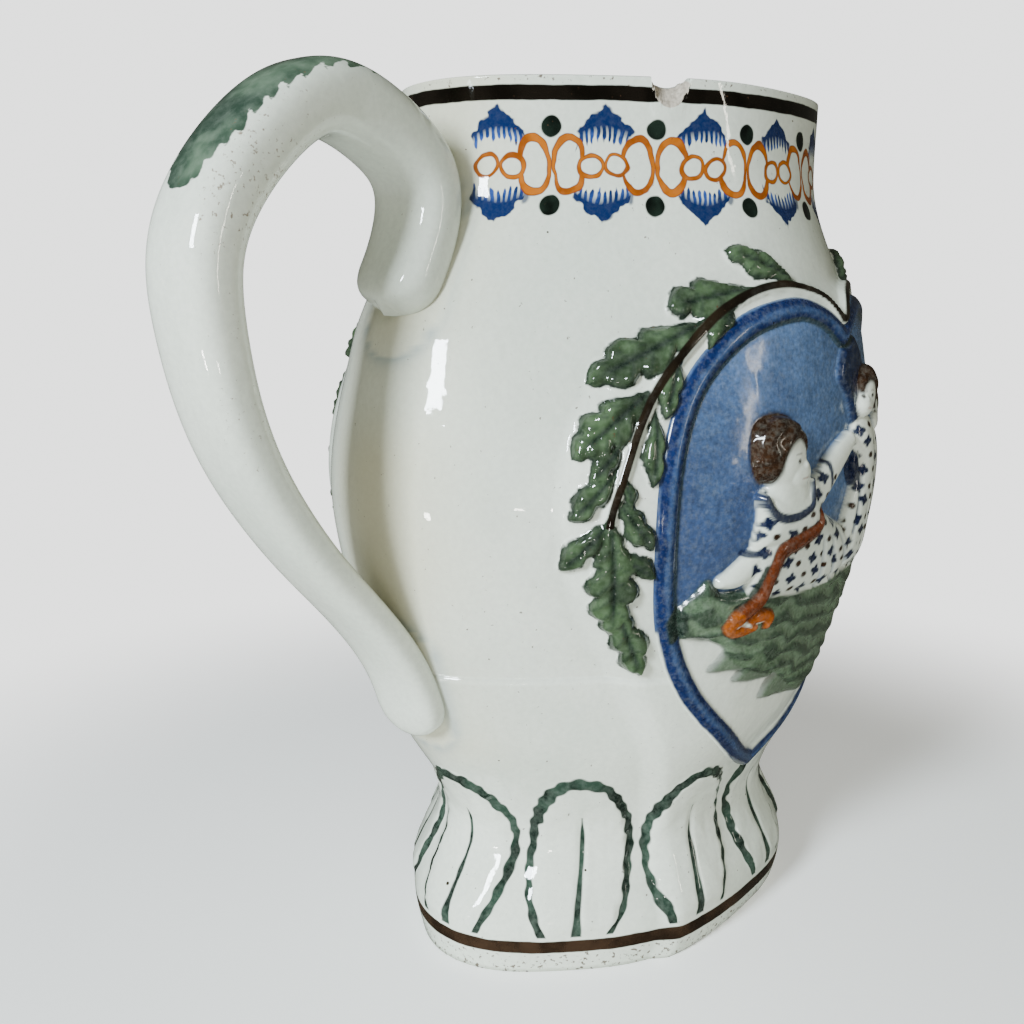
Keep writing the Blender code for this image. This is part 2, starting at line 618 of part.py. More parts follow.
def body_mesh():
    """The jug's body with its relief, hollow, as one closed mesh."""
    angle, height, faces, bottom, top = outer_wall()
    place = 1 + height / RIM_HEIGHT
    faces = faces.tolist()

    def add_ring(like, at):
        nonlocal angle, place
        ring = len(angle) + np.arange(len(like))
        angle = np.concatenate((angle, angle[like]))
        place = np.concatenate((place, np.full(len(like), at)))
        return ring

    def add_pole(ring, at, upward):
        nonlocal angle, place
        pole = len(angle)
        angle, place = np.append(angle, 0.0), np.append(place, at)
        for a, b in zip(ring, np.roll(ring, -1)):
            faces.append((pole, a, b) if upward else (pole, b, a))

    under = add_ring(bottom, 0.6)
    faces += join_rings(under, bottom)
    add_pole(under, 0.0, False)
    below = top
    for at in np.concatenate(((2.5,), np.linspace(3, 4, INNER_ROWS), (4.5,))):
        ring = add_ring(top, at)
        faces += join_rings(below, ring)
        below = ring
    add_pole(below, 5.0, True)

    points = skin(angle, place)
    used = np.unique(np.array(faces))
    number = np.full(len(points), -1)
    number[used] = np.arange(len(used))
    mesh = bpy.data.meshes.new("jug")
    mesh.from_pydata(points[used].tolist(), [], number[np.array(faces)].tolist())
    return mesh


def handle_path():
    """The strap's middle line as distance out from the wall and height, top end first."""
    start_gap = STRAP_THICKNESS_START / 2 - STRAP_SINK
    end_gap = STRAP_THICKNESS_END / 2 - STRAP_SINK
    bow = [(share * STRAP_REACH, up) for share, up in STRAP_BOW]
    drawn = np.array([(start_gap, up) for up in STRAP_START] + bow + [(end_gap, up) for up in STRAP_END])
    gap = drawn[:, 0]
    share = (drawn[:, 1] - DRAWING_WAIST) / (DRAWING_NECK - DRAWING_WAIST)
    height = WAIST_HEIGHT + share * (NECK_HEIGHT - WAIST_HEIGHT)
    wall = plan_radius(np.pi, height)
    return curve_through(np.stack((-wall - gap, height), 1), 12)


def handle_mesh():
    """The strap: a rounded-square section carried along its path, closed round at each end."""
    line = handle_path()
    run = np.concatenate(((0.0,), np.cumsum(np.hypot(*np.diff(line, axis=0).T))))
    total = run[-1]
    rounding = STRAP_ROUND_END * (1 - np.cos(np.linspace(0, np.pi / 2, 6)[1:]))
    between = np.linspace(STRAP_ROUND_END, total - STRAP_ROUND_END, HANDLE_STATIONS)[1:-1]
    at = np.concatenate((rounding, between, total - rounding[::-1]))
    centre = np.stack([np.interp(at, run, line[:, i]) for i in range(2)], 1)
    ahead = np.stack([np.interp(at + MM, run, line[:, i]) - np.interp(at - MM, run, line[:, i])
                      for i in range(2)], 1)
    ahead /= np.linalg.norm(ahead, axis=1, keepdims=True)
    share = at / total
    width = STRAP_WIDTH_TOP + (STRAP_WIDTH_END - STRAP_WIDTH_TOP) * smooth_step(share)
    crest = 0.3
    thick = np.where(share < crest,
                     STRAP_THICKNESS_START + (STRAP_THICKNESS_TOP - STRAP_THICKNESS_START)
                     * smooth_step(share / crest),
                     STRAP_THICKNESS_TOP + (STRAP_THICKNESS_END - STRAP_THICKNESS_TOP)
                     * smooth_step((share - crest) / (1 - crest) * 1.3))
    to_end = np.clip(np.minimum(at, total - at) / STRAP_ROUND_END, 0, 1)
    closing = np.sqrt(1 - (1 - to_end) ** 2)
    angle = (np.arange(HANDLE_SIDES) + 0.5) * 2 * np.pi / HANDLE_SIDES
    power = 2 / STRAP_SQUARENESS
    side = np.sign(np.cos(angle)) * np.abs(np.cos(angle)) ** power / 2
    back = np.sign(np.sin(angle)) * np.abs(np.sin(angle)) ** power / 2
    out = np.stack((-ahead[:, 1], ahead[:, 0]), 1)
    reach = (thick * (0.5 + 0.5 * closing))[:, None] * back
    x = centre[:, :1] + out[:, :1] * reach
    z = centre[:, 1:] + out[:, 1:] * reach
    y = (width * closing)[:, None] * side
    rings = np.stack((x, y, z), -1)
    count = len(at)
    ends = np.array(((line[0, 0], 0, line[0, 1]), (line[-1, 0], 0, line[-1, 1])))
    points = np.vstack((rings.reshape(-1, 3), ends))
    faces = []
    first, last = count * HANDLE_SIDES, count * HANDLE_SIDES + 1
    for s in range(HANDLE_SIDES):
        n = (s + 1) % HANDLE_SIDES
        faces.append((first, n, s))
        for r in range(count - 1):
            a, b = r * HANDLE_SIDES + s, r * HANDLE_SIDES + n
            faces += [(a, b, b + HANDLE_SIDES), (a, b + HANDLE_SIDES, a + HANDLE_SIDES)]
        top = (count - 1) * HANDLE_SIDES
        faces.append((last, top + s, top + n))
    mesh = bpy.data.meshes.new("handle_strap")
    mesh.from_pydata(points.tolist(), [], faces)
    return mesh


def pearlware():
    """Cream clay under a clear glaze that is faintly blue."""
    material = bpy.data.materials.new("pearlware")
    material.use_nodes = True
    shader = material.node_tree.nodes["Principled BSDF"]
    shader.inputs["Base Color"].default_value = (0.70, 0.73, 0.68, 1)
    shader.inputs["Roughness"].default_value = 0.18
    shader.inputs["Metallic"].default_value = 0.0
    return material


def main():
    for old in list(bpy.data.objects):
        bpy.data.objects.remove(old)
    scene = bpy.context.scene.collection.objects
    strap = bpy.data.objects.new("handle_strap", handle_mesh())
    scene.link(strap)
    strap.data.shade_smooth()
    strap.hide_render = True
    strap.display_type = "WIRE"
    jug = bpy.data.objects.new("jug", body_mesh())
    scene.link(jug)
    jug.data.materials.append(pearlware())
    jug.data.shade_smooth()
    jug.data.set_sharp_from_angle(angle=np.radians(SHARP_FROM))
    join = jug.modifiers.new("lute the handle on", "BOOLEAN")
    join.operation = "UNION"
    join.solver = "EXACT"
    join.object = strap


main()
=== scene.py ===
"""Looks for a moulded pearlware jug: fine moulding, underglaze painting and a glossy glaze.

Sizes are in metres where they are places in the scene and in millimetres in the drawings. A
drawing is laid out flat round a medallion's middle: across is the arc along the wall, positive
toward the pouring lip, and up is the height above the ground.
"""

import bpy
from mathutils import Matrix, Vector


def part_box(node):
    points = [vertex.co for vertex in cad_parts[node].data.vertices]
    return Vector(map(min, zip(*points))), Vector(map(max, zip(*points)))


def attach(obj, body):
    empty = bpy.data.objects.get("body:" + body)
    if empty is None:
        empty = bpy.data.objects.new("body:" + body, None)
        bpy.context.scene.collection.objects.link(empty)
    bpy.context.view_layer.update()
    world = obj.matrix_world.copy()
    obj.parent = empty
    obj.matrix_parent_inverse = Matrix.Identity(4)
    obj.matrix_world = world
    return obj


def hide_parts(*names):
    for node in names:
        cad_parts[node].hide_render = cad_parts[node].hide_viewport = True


bl_info = {
    "name": "Moulded pearlware jug",
    "version": (1, 0, 0),
    "blender": (4, 5, 0),
    "location": "View3D > Sidebar > Jug",
    "description": "Builds a moulded and painted pearlware jug around its packed solid",
    "category": "Add Mesh",
}

import bpy
import numpy as np
from bpy.props import FloatVectorProperty, IntProperty, PointerProperty
from mathutils import Matrix

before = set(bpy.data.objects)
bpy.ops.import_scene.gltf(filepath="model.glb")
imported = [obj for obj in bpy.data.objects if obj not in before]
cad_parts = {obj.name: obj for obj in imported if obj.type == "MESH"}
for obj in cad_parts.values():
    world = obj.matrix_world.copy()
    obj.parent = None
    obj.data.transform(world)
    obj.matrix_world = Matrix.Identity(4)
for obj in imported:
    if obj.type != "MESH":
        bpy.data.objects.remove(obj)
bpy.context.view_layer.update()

MM = 0.001

# The wall's outline, as on the solid: heights of its stations and, at each, the half sizes of
# the eight-sided plan toward the handle and lip, toward the medallions and toward the corners.
LIP_REACH, LIP_LIFT, LIP_DEPTH, LIP_HALF_ANGLE = 9 * MM, 2.5 * MM, 30 * MM, 30.0
RIM_ROUND = 0.3 * MM
RIM_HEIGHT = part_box("jug")[1].z - LIP_LIFT - RIM_ROUND
STATION_SHARES = np.array((0, 7, 23, 46, 87, 110, 137, 150)) / 150
STATION_HEIGHTS = RIM_HEIGHT * STATION_SHARES
STATION_SIZES = MM * np.array((
    (45.3, 30.3, 35.7), (46.3, 31.8, 37.2), (38.4, 26.9, 31.6), (51.5, 36.9, 40.2),
    (61.6, 46, 50), (58, 45, 45.6), (45.6, 36.3, 36.5), (46.4, 35, 37.2)))
CORNER_FACE_TURN, CORNER_CRISPNESS = 41.0, 9.5
WALL, RIM_WALL, FLOOR = 4 * MM, 3 * MM, 7 * MM
NECK_HEIGHT, RIM_RISE = STATION_HEIGHTS[6], STATION_HEIGHTS[7] - STATION_HEIGHTS[6]

CHIP_TURN, CHIP_WIDTH = np.radians(230.2 - 360.0), 5.8 * MM
CHIP_DEPTH, CHIP_INNER_DEPTH = 4.1 * MM, 1 * MM

# The relief's heights, in millimetres.
PANEL_RISE, PANEL_EDGE = 1.5, 5.0
PANEL_TOP, PANEL_TOP_FADE = 124.0, 12.0
# At the neck the shown drawing stands this far toward the lip, and further for each length down
# from there. The hidden one stands straight and is narrower.
MEDALLION_SHIFT, MEDALLION_LEAN, NECK_UP = 2.3, 0.031, 137.0
BACK_SHIFT, BACK_NARROWING = 6.0, 0.14
DRAWING_QUARTER = 81.5
LIP_SIDE_FALL, FALL_FROM, FALL_TO = 0.45, 6.0, 16.0
RIM_BEAD_HALF = 1.4
BEAD_FOOT = RIM_BEAD_HALF + 0.4
HEART_OVERLAP = 0.75
PICTURE_SHARE = 0.97
FIELD_SINK = 0.5
STEM_HALF, STEM_PAINT_HALF = 1.0, 0.6
BED_FLAT, BED_HALF, BED_RISE = 0.6, 3.0, 0.2
FOOT_LEAVES = 10
LEAF_TOP, LEAF_WIDEST, LEAF_FOOT = 36.5, 21.0, 7.5
LEAF_EDGE, LEAF_SHARE, LEAF_NARROWING = 1.7, 0.44, 0.95
BLADE_RISE, BLADE_GROOVE, BLADE_SCALLOP = 0.7, 0.3, 0.35
# A garland leaf swells where this power of its length says, and its fingers cut this far in.
LEAF_SWELL, LEAF_FULLNESS, FINGER_CUT, FINGER_ROUNDNESS = 1.35, 0.75, 0.38, 2.4
PILLOW_RISE, RIB_DEPTH, RIB_HALF, FURROW_DEPTH, STEM_RISE = 1.15, 0.42, 0.45, 0.14, 1.25
# How far the wall's slow waves move it, how wide they are, how far the wall lies under a
# medallion, and where the waves die out below the rim.
WAVE_RISE, WAVE_SIZE, MEDALLION_SEAT = 0.07, 9.0, 1.3
WAVES_END, WAVES_FADE = 149.0, 12.0

# The moulded drawing's left half: the panel's edge, the heart's edge and the garland.
PANEL_OUTLINE = ((-28, -4), (-27, 12), (-25.5, 20), (-28, 31), (-37, 48), (-48, 64), (-54, 75),
                 (-56.5, 88), (-52.5, 101), (-43, 110), (-32, 116), (-16, 121), (0, 122))
HEART_OUTLINE = ((0, 112.5), (-5, 115.5), (-12.5, 117), (-24, 114), (-34, 105.5), (-39.5, 93.5),
                 (-40.5, 80), (-37.2, 65.5), (-28, 51.5), (-12, 37.5), (0, 30.5))
HEART_MIDDLE = (0.0, 82.0)
STEM = ((-0.5, 113.6), (-4, 117), (-8, 118.6), (-13, 119.3), (-19, 118.4), (-25.8, 115.6),
        (-30.8, 112.3), (-35, 108.6), (-39.4, 103.8), (-43, 98.1), (-46.2, 91), (-48, 86),
        (-48.4, 80), (-46.8, 73.4), (-43.8, 66.6))
STEM_BROWN_END = 87.0

# Leaves of the garland: base, tip, width and lobes on each side.
LEAVES = (((-9.0, 119.6), (-21.6, 124.8), 5.4, 3), ((-19.2, 119.0), (-34.6, 116.0), 6.6, 3),
          ((-24.0, 116.2), (-30.4, 108.7), 4.4, 2), ((-29.5, 114.0), (-49.2, 105.2), 7.4, 4),
          ((-34.6, 109.4), (-38.8, 99.6), 4.2, 2), ((-40.2, 104.0), (-53.0, 94.4), 7.4, 4),
          ((-39.8, 101.2), (-41.6, 90.0), 4.2, 2), ((-45.2, 96.6), (-51.0, 91.0), 3.8, 2),
          ((-46.6, 92.8), (-54.2, 85.4), 4.8, 2), ((-46.0, 92.0), (-44.6, 87.4), 2.8, 1),
          ((-47.4, 88.8), (-41.2, 80.8), 4.6, 2), ((-48.2, 85.6), (-55.0, 77.4), 4.8, 2),
          ((-48.4, 86.6), (-45.4, 67.0), 8.4, 5), ((-47.8, 81.0), (-40.0, 76.4), 3.8, 1),
          ((-46.8, 73.8), (-38.4, 59.2), 5.8, 3))


def smooth_step(x):
    """Zero below 0, one above 1 and 3x^2 - 2x^3 between."""
    x = np.clip(x, 0.0, 1.0)
    return x * x * (3.0 - 2.0 * x)


def through(stations, values, at):
    """A smooth curve through the values that never swings past them: cubic pieces whose slope
    is flat at a turning value and the harmonic mean of its neighbours elsewhere."""
    gaps = np.diff(stations)
    steps = np.diff(values) / gaps
    slopes = np.zeros(len(values))
    same_way = steps[:-1] * steps[1:] > 0
    both = np.where(same_way, steps[:-1] + steps[1:], 1.0)
    slopes[1:-1] = np.where(same_way, 2.0 * steps[:-1] * steps[1:] / both, 0.0)
    slopes[0], slopes[-1] = steps[0], steps[-1]
    k = np.clip(np.searchsorted(stations, at) - 1, 0, len(gaps) - 1)
    t = np.clip((at - stations[k]) / gaps[k], 0.0, 1.0)
    ease = t * t * (3 - 2 * t)
    lead = t * (1 - t) ** 2 * slopes[k] - t * t * (1 - t) * slopes[k + 1]
    return values[k] * (1 - ease) + values[k + 1] * ease + gaps[k] * lead


def plan_radius(angle, height, inset=0.0):
    """Distance from the axis to the eight-sided wall: the sum over the sides of
    (cosine of the turn from the side / its half size) ^ crispness, to the power -1 / crispness."""
    long_half, wide_half, corner_half = (
        through(STATION_HEIGHTS, STATION_SIZES[:, i], height) - inset for i in range(3))
    turn = np.radians(CORNER_FACE_TURN)
    sides = [(0.0, long_half), (np.pi, long_half)]
    for middle in (-np.pi / 2, np.pi / 2):
        sides += [(middle, wide_half), (middle - turn, corner_half), (middle + turn, corner_half)]
    total = 0.0
    for facing, half in sides:
        total = total + (np.maximum(np.cos(angle - facing), 0) / half) ** CORNER_CRISPNESS
    return total ** (-1.0 / CORNER_CRISPNESS)


def folded(angle):
    """The turn from the lip, without its side: 0 at the lip and pi at the handle."""
    return np.abs((angle + np.pi) % (2 * np.pi) - np.pi)


def lip_swell(angle, height):
    """How much of the pouring lip is felt: a squared cosine across it, growing up the neck."""
    away = folded(angle) / np.radians(LIP_HALF_ANGLE)
    across = np.cos(np.clip(away, 0, 1) * np.pi / 2) ** 2
    return across * smooth_step((height - RIM_HEIGHT + LIP_DEPTH) / LIP_DEPTH) ** 1.5


def bare_wall(angle, height, inset=0.0):
    """A point of the wall without its relief: the plan's radius and the lip's reach and lift."""
    swell = lip_swell(angle, height)
    radius = plan_radius(angle, height, inset) + LIP_REACH * swell
    return np.stack((radius * np.cos(angle), radius * np.sin(angle),
                     height + LIP_LIFT * swell ** 2), -1)


def wall_normal(angle, height):
    """The wall's outward direction, from the cross product of its two small steps."""
    turn, rise = 0.002, 2 * MM
    lower, upper = np.clip(height - rise, 0, RIM_HEIGHT), np.clip(height + rise, 0, RIM_HEIGHT)
    facing = np.cross(bare_wall(angle + turn, height) - bare_wall(angle - turn, height),
                      bare_wall(angle, upper) - bare_wall(angle, lower))
    facing /= np.linalg.norm(facing, axis=-1, keepdims=True)
    facing[np.abs(height) < 1e-9, 2] = 0
    return facing


# A table of the level arc along the bare wall, from a medallion's middle, in millimetres.
TABLE_ANGLES = np.linspace(0, np.pi, 541)
TABLE_LEVELS = np.linspace(0, RIM_HEIGHT, 301)
TABLE_SHARES = np.linspace(-1, 1, 541)


def arc_table():
    """Arc at each level and folded angle: the running sum of the plan's short chords."""
    radius = plan_radius(TABLE_ANGLES[None, :], TABLE_LEVELS[:, None])
    x, y = radius * np.cos(TABLE_ANGLES), radius * np.sin(TABLE_ANGLES)
    run = np.concatenate((np.zeros((len(radius), 1)),
                          np.cumsum(np.hypot(np.diff(x), np.diff(y)), axis=1)), 1)
    middle = run[:, len(TABLE_ANGLES) // 2]
    return (middle[:, None] - run) / MM


ARCS = arc_table()
QUARTERS = ARCS[:, 0]
ANGLES_BACK = np.array([np.interp(TABLE_SHARES * q, row[::-1], TABLE_ANGLES[::-1])
                        for q, row in zip(QUARTERS, ARCS)])


def look_up(table, row_axis, column_axis, row, column):
    """Value of a table between its rows and columns, weighted by nearness."""
    r = np.clip((row - row_axis[0]) / (row_axis[1] - row_axis[0]), 0, len(row_axis) - 1.001)
    c = np.clip((column - column_axis[0]) / (column_axis[1] - column_axis[0]), 0,
                len(column_axis) - 1.001)
    i, j = r.astype(int), c.astype(int)
    fr, fc = r - i, c - j
    low = table[i, j] * (1 - fc) + table[i, j + 1] * fc
    high = table[i + 1, j] * (1 - fc) + table[i + 1, j + 1] * fc
    return low * (1 - fr) + high * fr


def arc_at(angle, height):
    """Arc in millimetres from the nearest medallion's middle, positive toward the lip."""
    return look_up(ARCS, TABLE_LEVELS, TABLE_ANGLES, height, folded(angle))


def quarter_at(height):
    """Arc in millimetres from a medallion's middle to the handle, at a height."""
    return np.interp(height, TABLE_LEVELS, QUARTERS)


def angle_at(arc, height, side):
    """The angle whose arc from the medallion's middle this is, on the side -1 or 1."""
    share = arc / quarter_at(height)
    return side * look_up(ANGLES_BACK, TABLE_LEVELS, TABLE_SHARES, height, share)


def curve_through(points, per_span=8):
    """A smooth line through points: each span is a cubic that aims along its neighbours."""
    p = np.array(points, float)
    p = np.vstack((2 * p[0] - p[1], p, 2 * p[-1] - p[-2]))
    t = np.linspace(0, 1, per_span, endpoint=False)[:, None]
    spans = []
    for a, b, c, d in zip(p, p[1:], p[2:], p[3:]):
        spans.append(0.5 * (2 * b + (c - a) * t + (2 * a - 5 * b + 4 * c - d) * t ** 2
                            + (3 * b - a - 3 * c + d) * t ** 3))
    return np.vstack(spans + [p[-2:-1]])


def closed_curve(points, per_span=8):
    """A smooth closed line through points, each named once."""
    p = list(points)
    return curve_through(p[-2:] + p + p[:3], per_span)[2 * per_span:(len(p) + 2) * per_span]


def both_halves(half):
    """A closed outline from its smooth left half."""
    left = curve_through(half)
    return np.vstack((left, left[-2:0:-1] * (-1, 1)))


STRETCH = float(quarter_at(STATION_HEIGHTS[4])) / DRAWING_QUARTER


def drawing_across(arc, up, shown):
    """Place across a medallion's drawing of an arc of the wall, in millimetres."""
    leaning = (arc - MEDALLION_SHIFT - MEDALLION_LEAN * (NECK_UP - up)) / STRETCH
    straight = (arc - BACK_SHIFT) / (STRETCH * (1 - BACK_NARROWING))
    return np.where(shown, leaning, straight)


def drawing_arc(across, up, shown):
    """The arc of the wall where a place across a medallion's drawing falls."""
    leaning = across * STRETCH + MEDALLION_SHIFT + MEDALLION_LEAN * (NECK_UP - up)
    return np.where(shown, leaning, across * STRETCH * (1 - BACK_NARROWING) + BACK_SHIFT)


def panel_rise(arc, up):
    """Height of the raised panel: an eased step in from its edge, fading out below the neck."""
    depth = depth_inside(PANEL_LINE, drawing_across(arc, up, True), up)
    fade = smooth_step((PANEL_TOP - up) / PANEL_TOP_FADE)
    return PANEL_RISE * smooth_step(depth / PANEL_EDGE) * fade


# Depths are measured no further outside a form than this, in millimetres.
FAR = 6.0


def stroke_inside(line, half, across, up):
    """Depth inside a stroke along a chain of straight pieces, whose half width eases from point
    to point. It is at least -FAR, and places past the chain's box by that much aren't measured."""
    low, high = line.min(0) - FAR, line.max(0) + FAR
    close = (across > low[0]) & (across < high[0]) & (up > low[1]) & (up < high[1])
    x, y = across[close], up[close]
    best = np.full(x.shape, -FAR)
    for a, b, wide, next_wide in zip(line[:-1], line[1:], half[:-1], half[1:]):
        run = b - a
        t = np.clip(((x - a[0]) * run[0] + (y - a[1]) * run[1]) / max(run @ run, 1e-9), 0, 1)
        away = np.hypot(x - a[0] - t * run[0], y - a[1] - t * run[1])
        best = np.maximum(best, wide + (next_wide - wide) * t - away)
    depth = np.full(across.shape, -FAR)
    depth[close] = best
    return depth


def distance_to(line, across, up):
    """Distance from each place to a chain of straight pieces, at most FAR."""
    return -stroke_inside(line, np.zeros(len(line)), across, up)


def depth_inside(outline, across, up):
    """Distance in from a closed outline, negative outside it; a place is inside where a ray to
    its right crosses an odd number of edges."""
    crossings = np.zeros(across.shape, int)
    for a, b in zip(outline, np.roll(outline, -1, axis=0)):
        if a[1] != b[1]:
            spans = (a[1] > up) != (b[1] > up)
            cut = a[0] + (up - a[1]) * (b[0] - a[0]) / (b[1] - a[1])
            crossings += spans & (across < cut)
    closed = np.vstack((outline, outline[:1]))
    return np.where(crossings % 2 == 1, 1.0, -1.0) * distance_to(closed, across, up)


def noise(x, y, size, seed):
    """Smooth random hills about zero, of a given size: values on a lattice, eased between."""
    lattice = np.random.default_rng(seed).uniform(-1, 1, (256, 256))
    u, v = x / size, y / size
    i, j = np.floor(u).astype(int), np.floor(v).astype(int)
    fu, fv = smooth_step(u - i), smooth_step(v - j)
    low = lattice[i % 256, j % 256] * (1 - fu) + lattice[(i + 1) % 256, j % 256] * fu
    high = lattice[i % 256, (j + 1) % 256] * (1 - fu) + lattice[(i + 1) % 256, (j + 1) % 256] * fu
    return low * (1 - fv) + high * fv


PANEL_LINE = both_halves(PANEL_OUTLINE)
HEART_LINE = both_halves(HEART_OUTLINE)
STEM_LINE = curve_through(STEM)


def leaf_depth(across, up, base, tip, width, lobes):
    """Distance in from a lobed leaf's edge, and its place along and beside the midrib. Half the
    width swells past the middle of the length, and fingers that slant to the tip cut into it."""
    base, tip = np.array(base, float), np.array(tip, float)
    length = np.hypot(*(tip - base))
    ahead = (tip - base) / length
    along = ((across - base[0]) * ahead[0] + (up - base[1]) * ahead[1]) / length
    aside = (up - base[1]) * ahead[0] - (across - base[0]) * ahead[1]
    inner = np.clip(along, 0, 1)
    envelope = np.sin(np.pi * inner ** LEAF_SWELL) ** LEAF_FULLNESS
    phase = inner * (0.8 * lobes + 0.3) + np.where(aside > 0, 0.0, 0.45) - 0.09 * np.abs(aside)
    finger = 1 - np.abs(2 * (phase - np.floor(phase)) - 1) ** FINGER_ROUNDNESS
    half = 0.5 * width * envelope * (1 - FINGER_CUT * (1 - finger) * smooth_step(inner / 0.5))
    past = np.maximum(np.maximum(-along, along - 1), 0) * length
    return half - np.abs(aside) - past, inner, aside


def garland(across, up):
    """Height of the garland in millimetres, the depth inside its leaves, the depth inside its
    stem and how dark its veins are painted, darker also as painted shade in each midrib's groove.
    Each leaf is a low pillow with a groove along its midrib and slanting furrows; the leaves
    stand on a faint bed along the stem."""
    left = -np.abs(across)
    away = distance_to(STEM_LINE, left, up)
    stem = np.sqrt(np.clip(1 - (away / STEM_HALF) ** 2, 0, 1))
    height = BED_RISE * smooth_step((BED_HALF - away) / (BED_HALF - BED_FLAT))
    leaves = np.full(across.shape, -FAR)
    veins_and_shade = np.zeros(across.shape)
    close = (away < FAR - 0.01) | (left < -30) | (up > 115)
    x, y = left[close], up[close]
    best = np.full(x.shape, -FAR)
    rise = height[close]
    dark = np.zeros(x.shape)
    crinkle = noise(across[close], y, 1.5, 3) + 0.6 * noise(across[close], y, 0.8, 4)
    for base, tip, width, lobes in LEAVES:
        depth, along, aside = leaf_depth(x, y, base, tip, width, lobes)
        pillow = smooth_step((depth + 0.1) / 0.9)
        rib = np.exp(-(aside / RIB_HALF) ** 2) * smooth_step((0.95 - along) / 0.2)
        furrow = np.cos(2 * np.pi * (along * (lobes + 0.3) * 1.5 - np.abs(aside) * 0.28))
        swell = (PILLOW_RISE + 0.25 * np.clip(depth, 0, 1.5) - RIB_DEPTH * rib
                 + FURROW_DEPTH * furrow + 0.10 * crinkle)
        over = pillow * swell
        on_top = over > rise
        rise = np.where(on_top, over, rise)
        # Painted veins and shade: dark along the midrib's groove and in slanting bands.
        shade = np.maximum(rib, 0.5 * smooth_step((furrow - 0.55) / 0.4))
        dark = np.where(on_top & (depth > -0.1), shade, dark)
        best = np.maximum(best, depth)
    height[close] = rise
    veins_and_shade[close] = dark
    leaves[close] = best
    stem_depth = np.where(up > STEM_BROWN_END - 3, STEM_PAINT_HALF - away, -FAR)
    return np.maximum(height, STEM_RISE * stem), leaves, stem_depth, veins_and_shade


def foot_leaf_half(up, pitch):
    """Half the width of an upright leaf of the foot: a half ellipse above its widest height,
    and narrower toward the ground by a square."""
    above = np.clip((up - LEAF_WIDEST) / (LEAF_TOP - LEAF_WIDEST), 0, 1)
    below = np.clip((LEAF_WIDEST - up) / LEAF_WIDEST, 0, 1)
    narrow = np.maximum(1 - LEAF_NARROWING * below ** 2, 0.3)
    return LEAF_SHARE * pitch * np.sqrt(1 - above ** 2) * narrow


def foot_leaves(arc, quarter, up):
    """Height in millimetres of the ring of upright leaves round the foot: flat blades with
    scalloped edges, a shallow groove down each middle and a dimpled skin."""
    pitch = 4 * quarter / FOOT_LEAVES
    place = (arc - quarter) / pitch
    aside = np.abs(place - np.round(place)) * pitch
    scallop = BLADE_SCALLOP * np.sin(up * 1.7 + np.round(place) * 2.1)
    edge = foot_leaf_half(up, pitch) - aside + scallop
    blade = smooth_step(edge / LEAF_EDGE) * smooth_step((up - LEAF_FOOT) / 2)
    dimple = 0.10 * noise(arc, up, 2.6, 11) + 0.05 * noise(arc, up, 1.2, 12)
    groove = BLADE_GROOVE * smooth_step(1 - aside / 1.3) * smooth_step((29 - up) / 4)
    return blade * (BLADE_RISE - groove + dimple)


def wall_waves(arc, up, shown):
    """The slow waves of a hand-moulded wall, in millimetres, each side with its own."""
    return WAVE_RISE * noise(arc + 200 * shown, up, WAVE_SIZE, 21)


def relief(angle, height):
    """Height in millimetres of the relief on the wall outside the hearts, the depth inside the
    heart there, and the garland's measures."""
    arc, up = arc_at(angle, height), height / MM
    across = drawing_across(arc, up, angle < 0)
    rise = panel_rise(arc, up)
    heart = depth_inside(HEART_LINE, across, up)
    leafage, leaves, stem, veins_and_shade = garland(across, up)
    rise = rise + leafage * smooth_step(0.5 - heart)
    rise = rise + foot_leaves(arc, quarter_at(height), up)
    waves = wall_waves(arc, up, angle < 0) * smooth_step((WAVES_END - up) / WAVES_FADE)
    return rise + waves, heart, leaves, stem, veins_and_shade


def chip_bite(angle, height):
    """How far the chip in the rim is felt, one at its deepest: half a circle across."""
    reach = plan_radius(CHIP_TURN, np.array(RIM_HEIGHT))
    away = (angle - CHIP_TURN + np.pi) % (2 * np.pi) - np.pi
    ragged = 1 + 0.12 * noise(angle * 3000, height / MM, 1.4, 31)
    away = np.abs(away) * reach / (CHIP_WIDTH / 2) * ragged
    return np.sqrt(np.clip(1 - away ** 2, 0, 1))


# Where the handle's two ends are luted on: heights of each end's middle line and its half width.
# Past them, how far the glaze pools and the painted shade spreads, from what height, and its size.
LUTED_ENDS = ((115.5, 128.0, 7.2), (49.0, 60.0, 6.7))
POOL_REACH, SHADE_REACH, SHADE_FROM, SHADE_SIZE = 1.1, 12.0, 36.0, 13.0


def handle_side(angle, up):
    """How thickly glaze pooled round the handle's ends, and the painted warm shade beside it: a
    soft band past a capsule round each end, and hills that fade with the arc from the handle."""
    beside = (np.pi - folded(angle)) * STATION_SIZES[4, 0] / MM * 0.8
    pool = np.zeros(np.shape(angle))
    for low, high, half in LUTED_ENDS:
        away = np.hypot(beside, up - np.clip(up, low, high)) - half
        band = smooth_step((away + 0.6) / 0.6) * np.exp(-np.maximum(away, 0) / POOL_REACH)
        pool = np.maximum(pool, band)
    # Painted shade: a warm darker tint on the wall where the handle shades it.
    hills = 0.5 + 0.5 * noise(beside * np.sign(angle), up, SHADE_SIZE, 61)
    faded = np.exp(-(beside / SHADE_REACH) ** 2) * smooth_step((up - SHADE_FROM) / 10)
    handle_shade = faded * (0.25 + 0.75 * hills)
    return pool, handle_shade


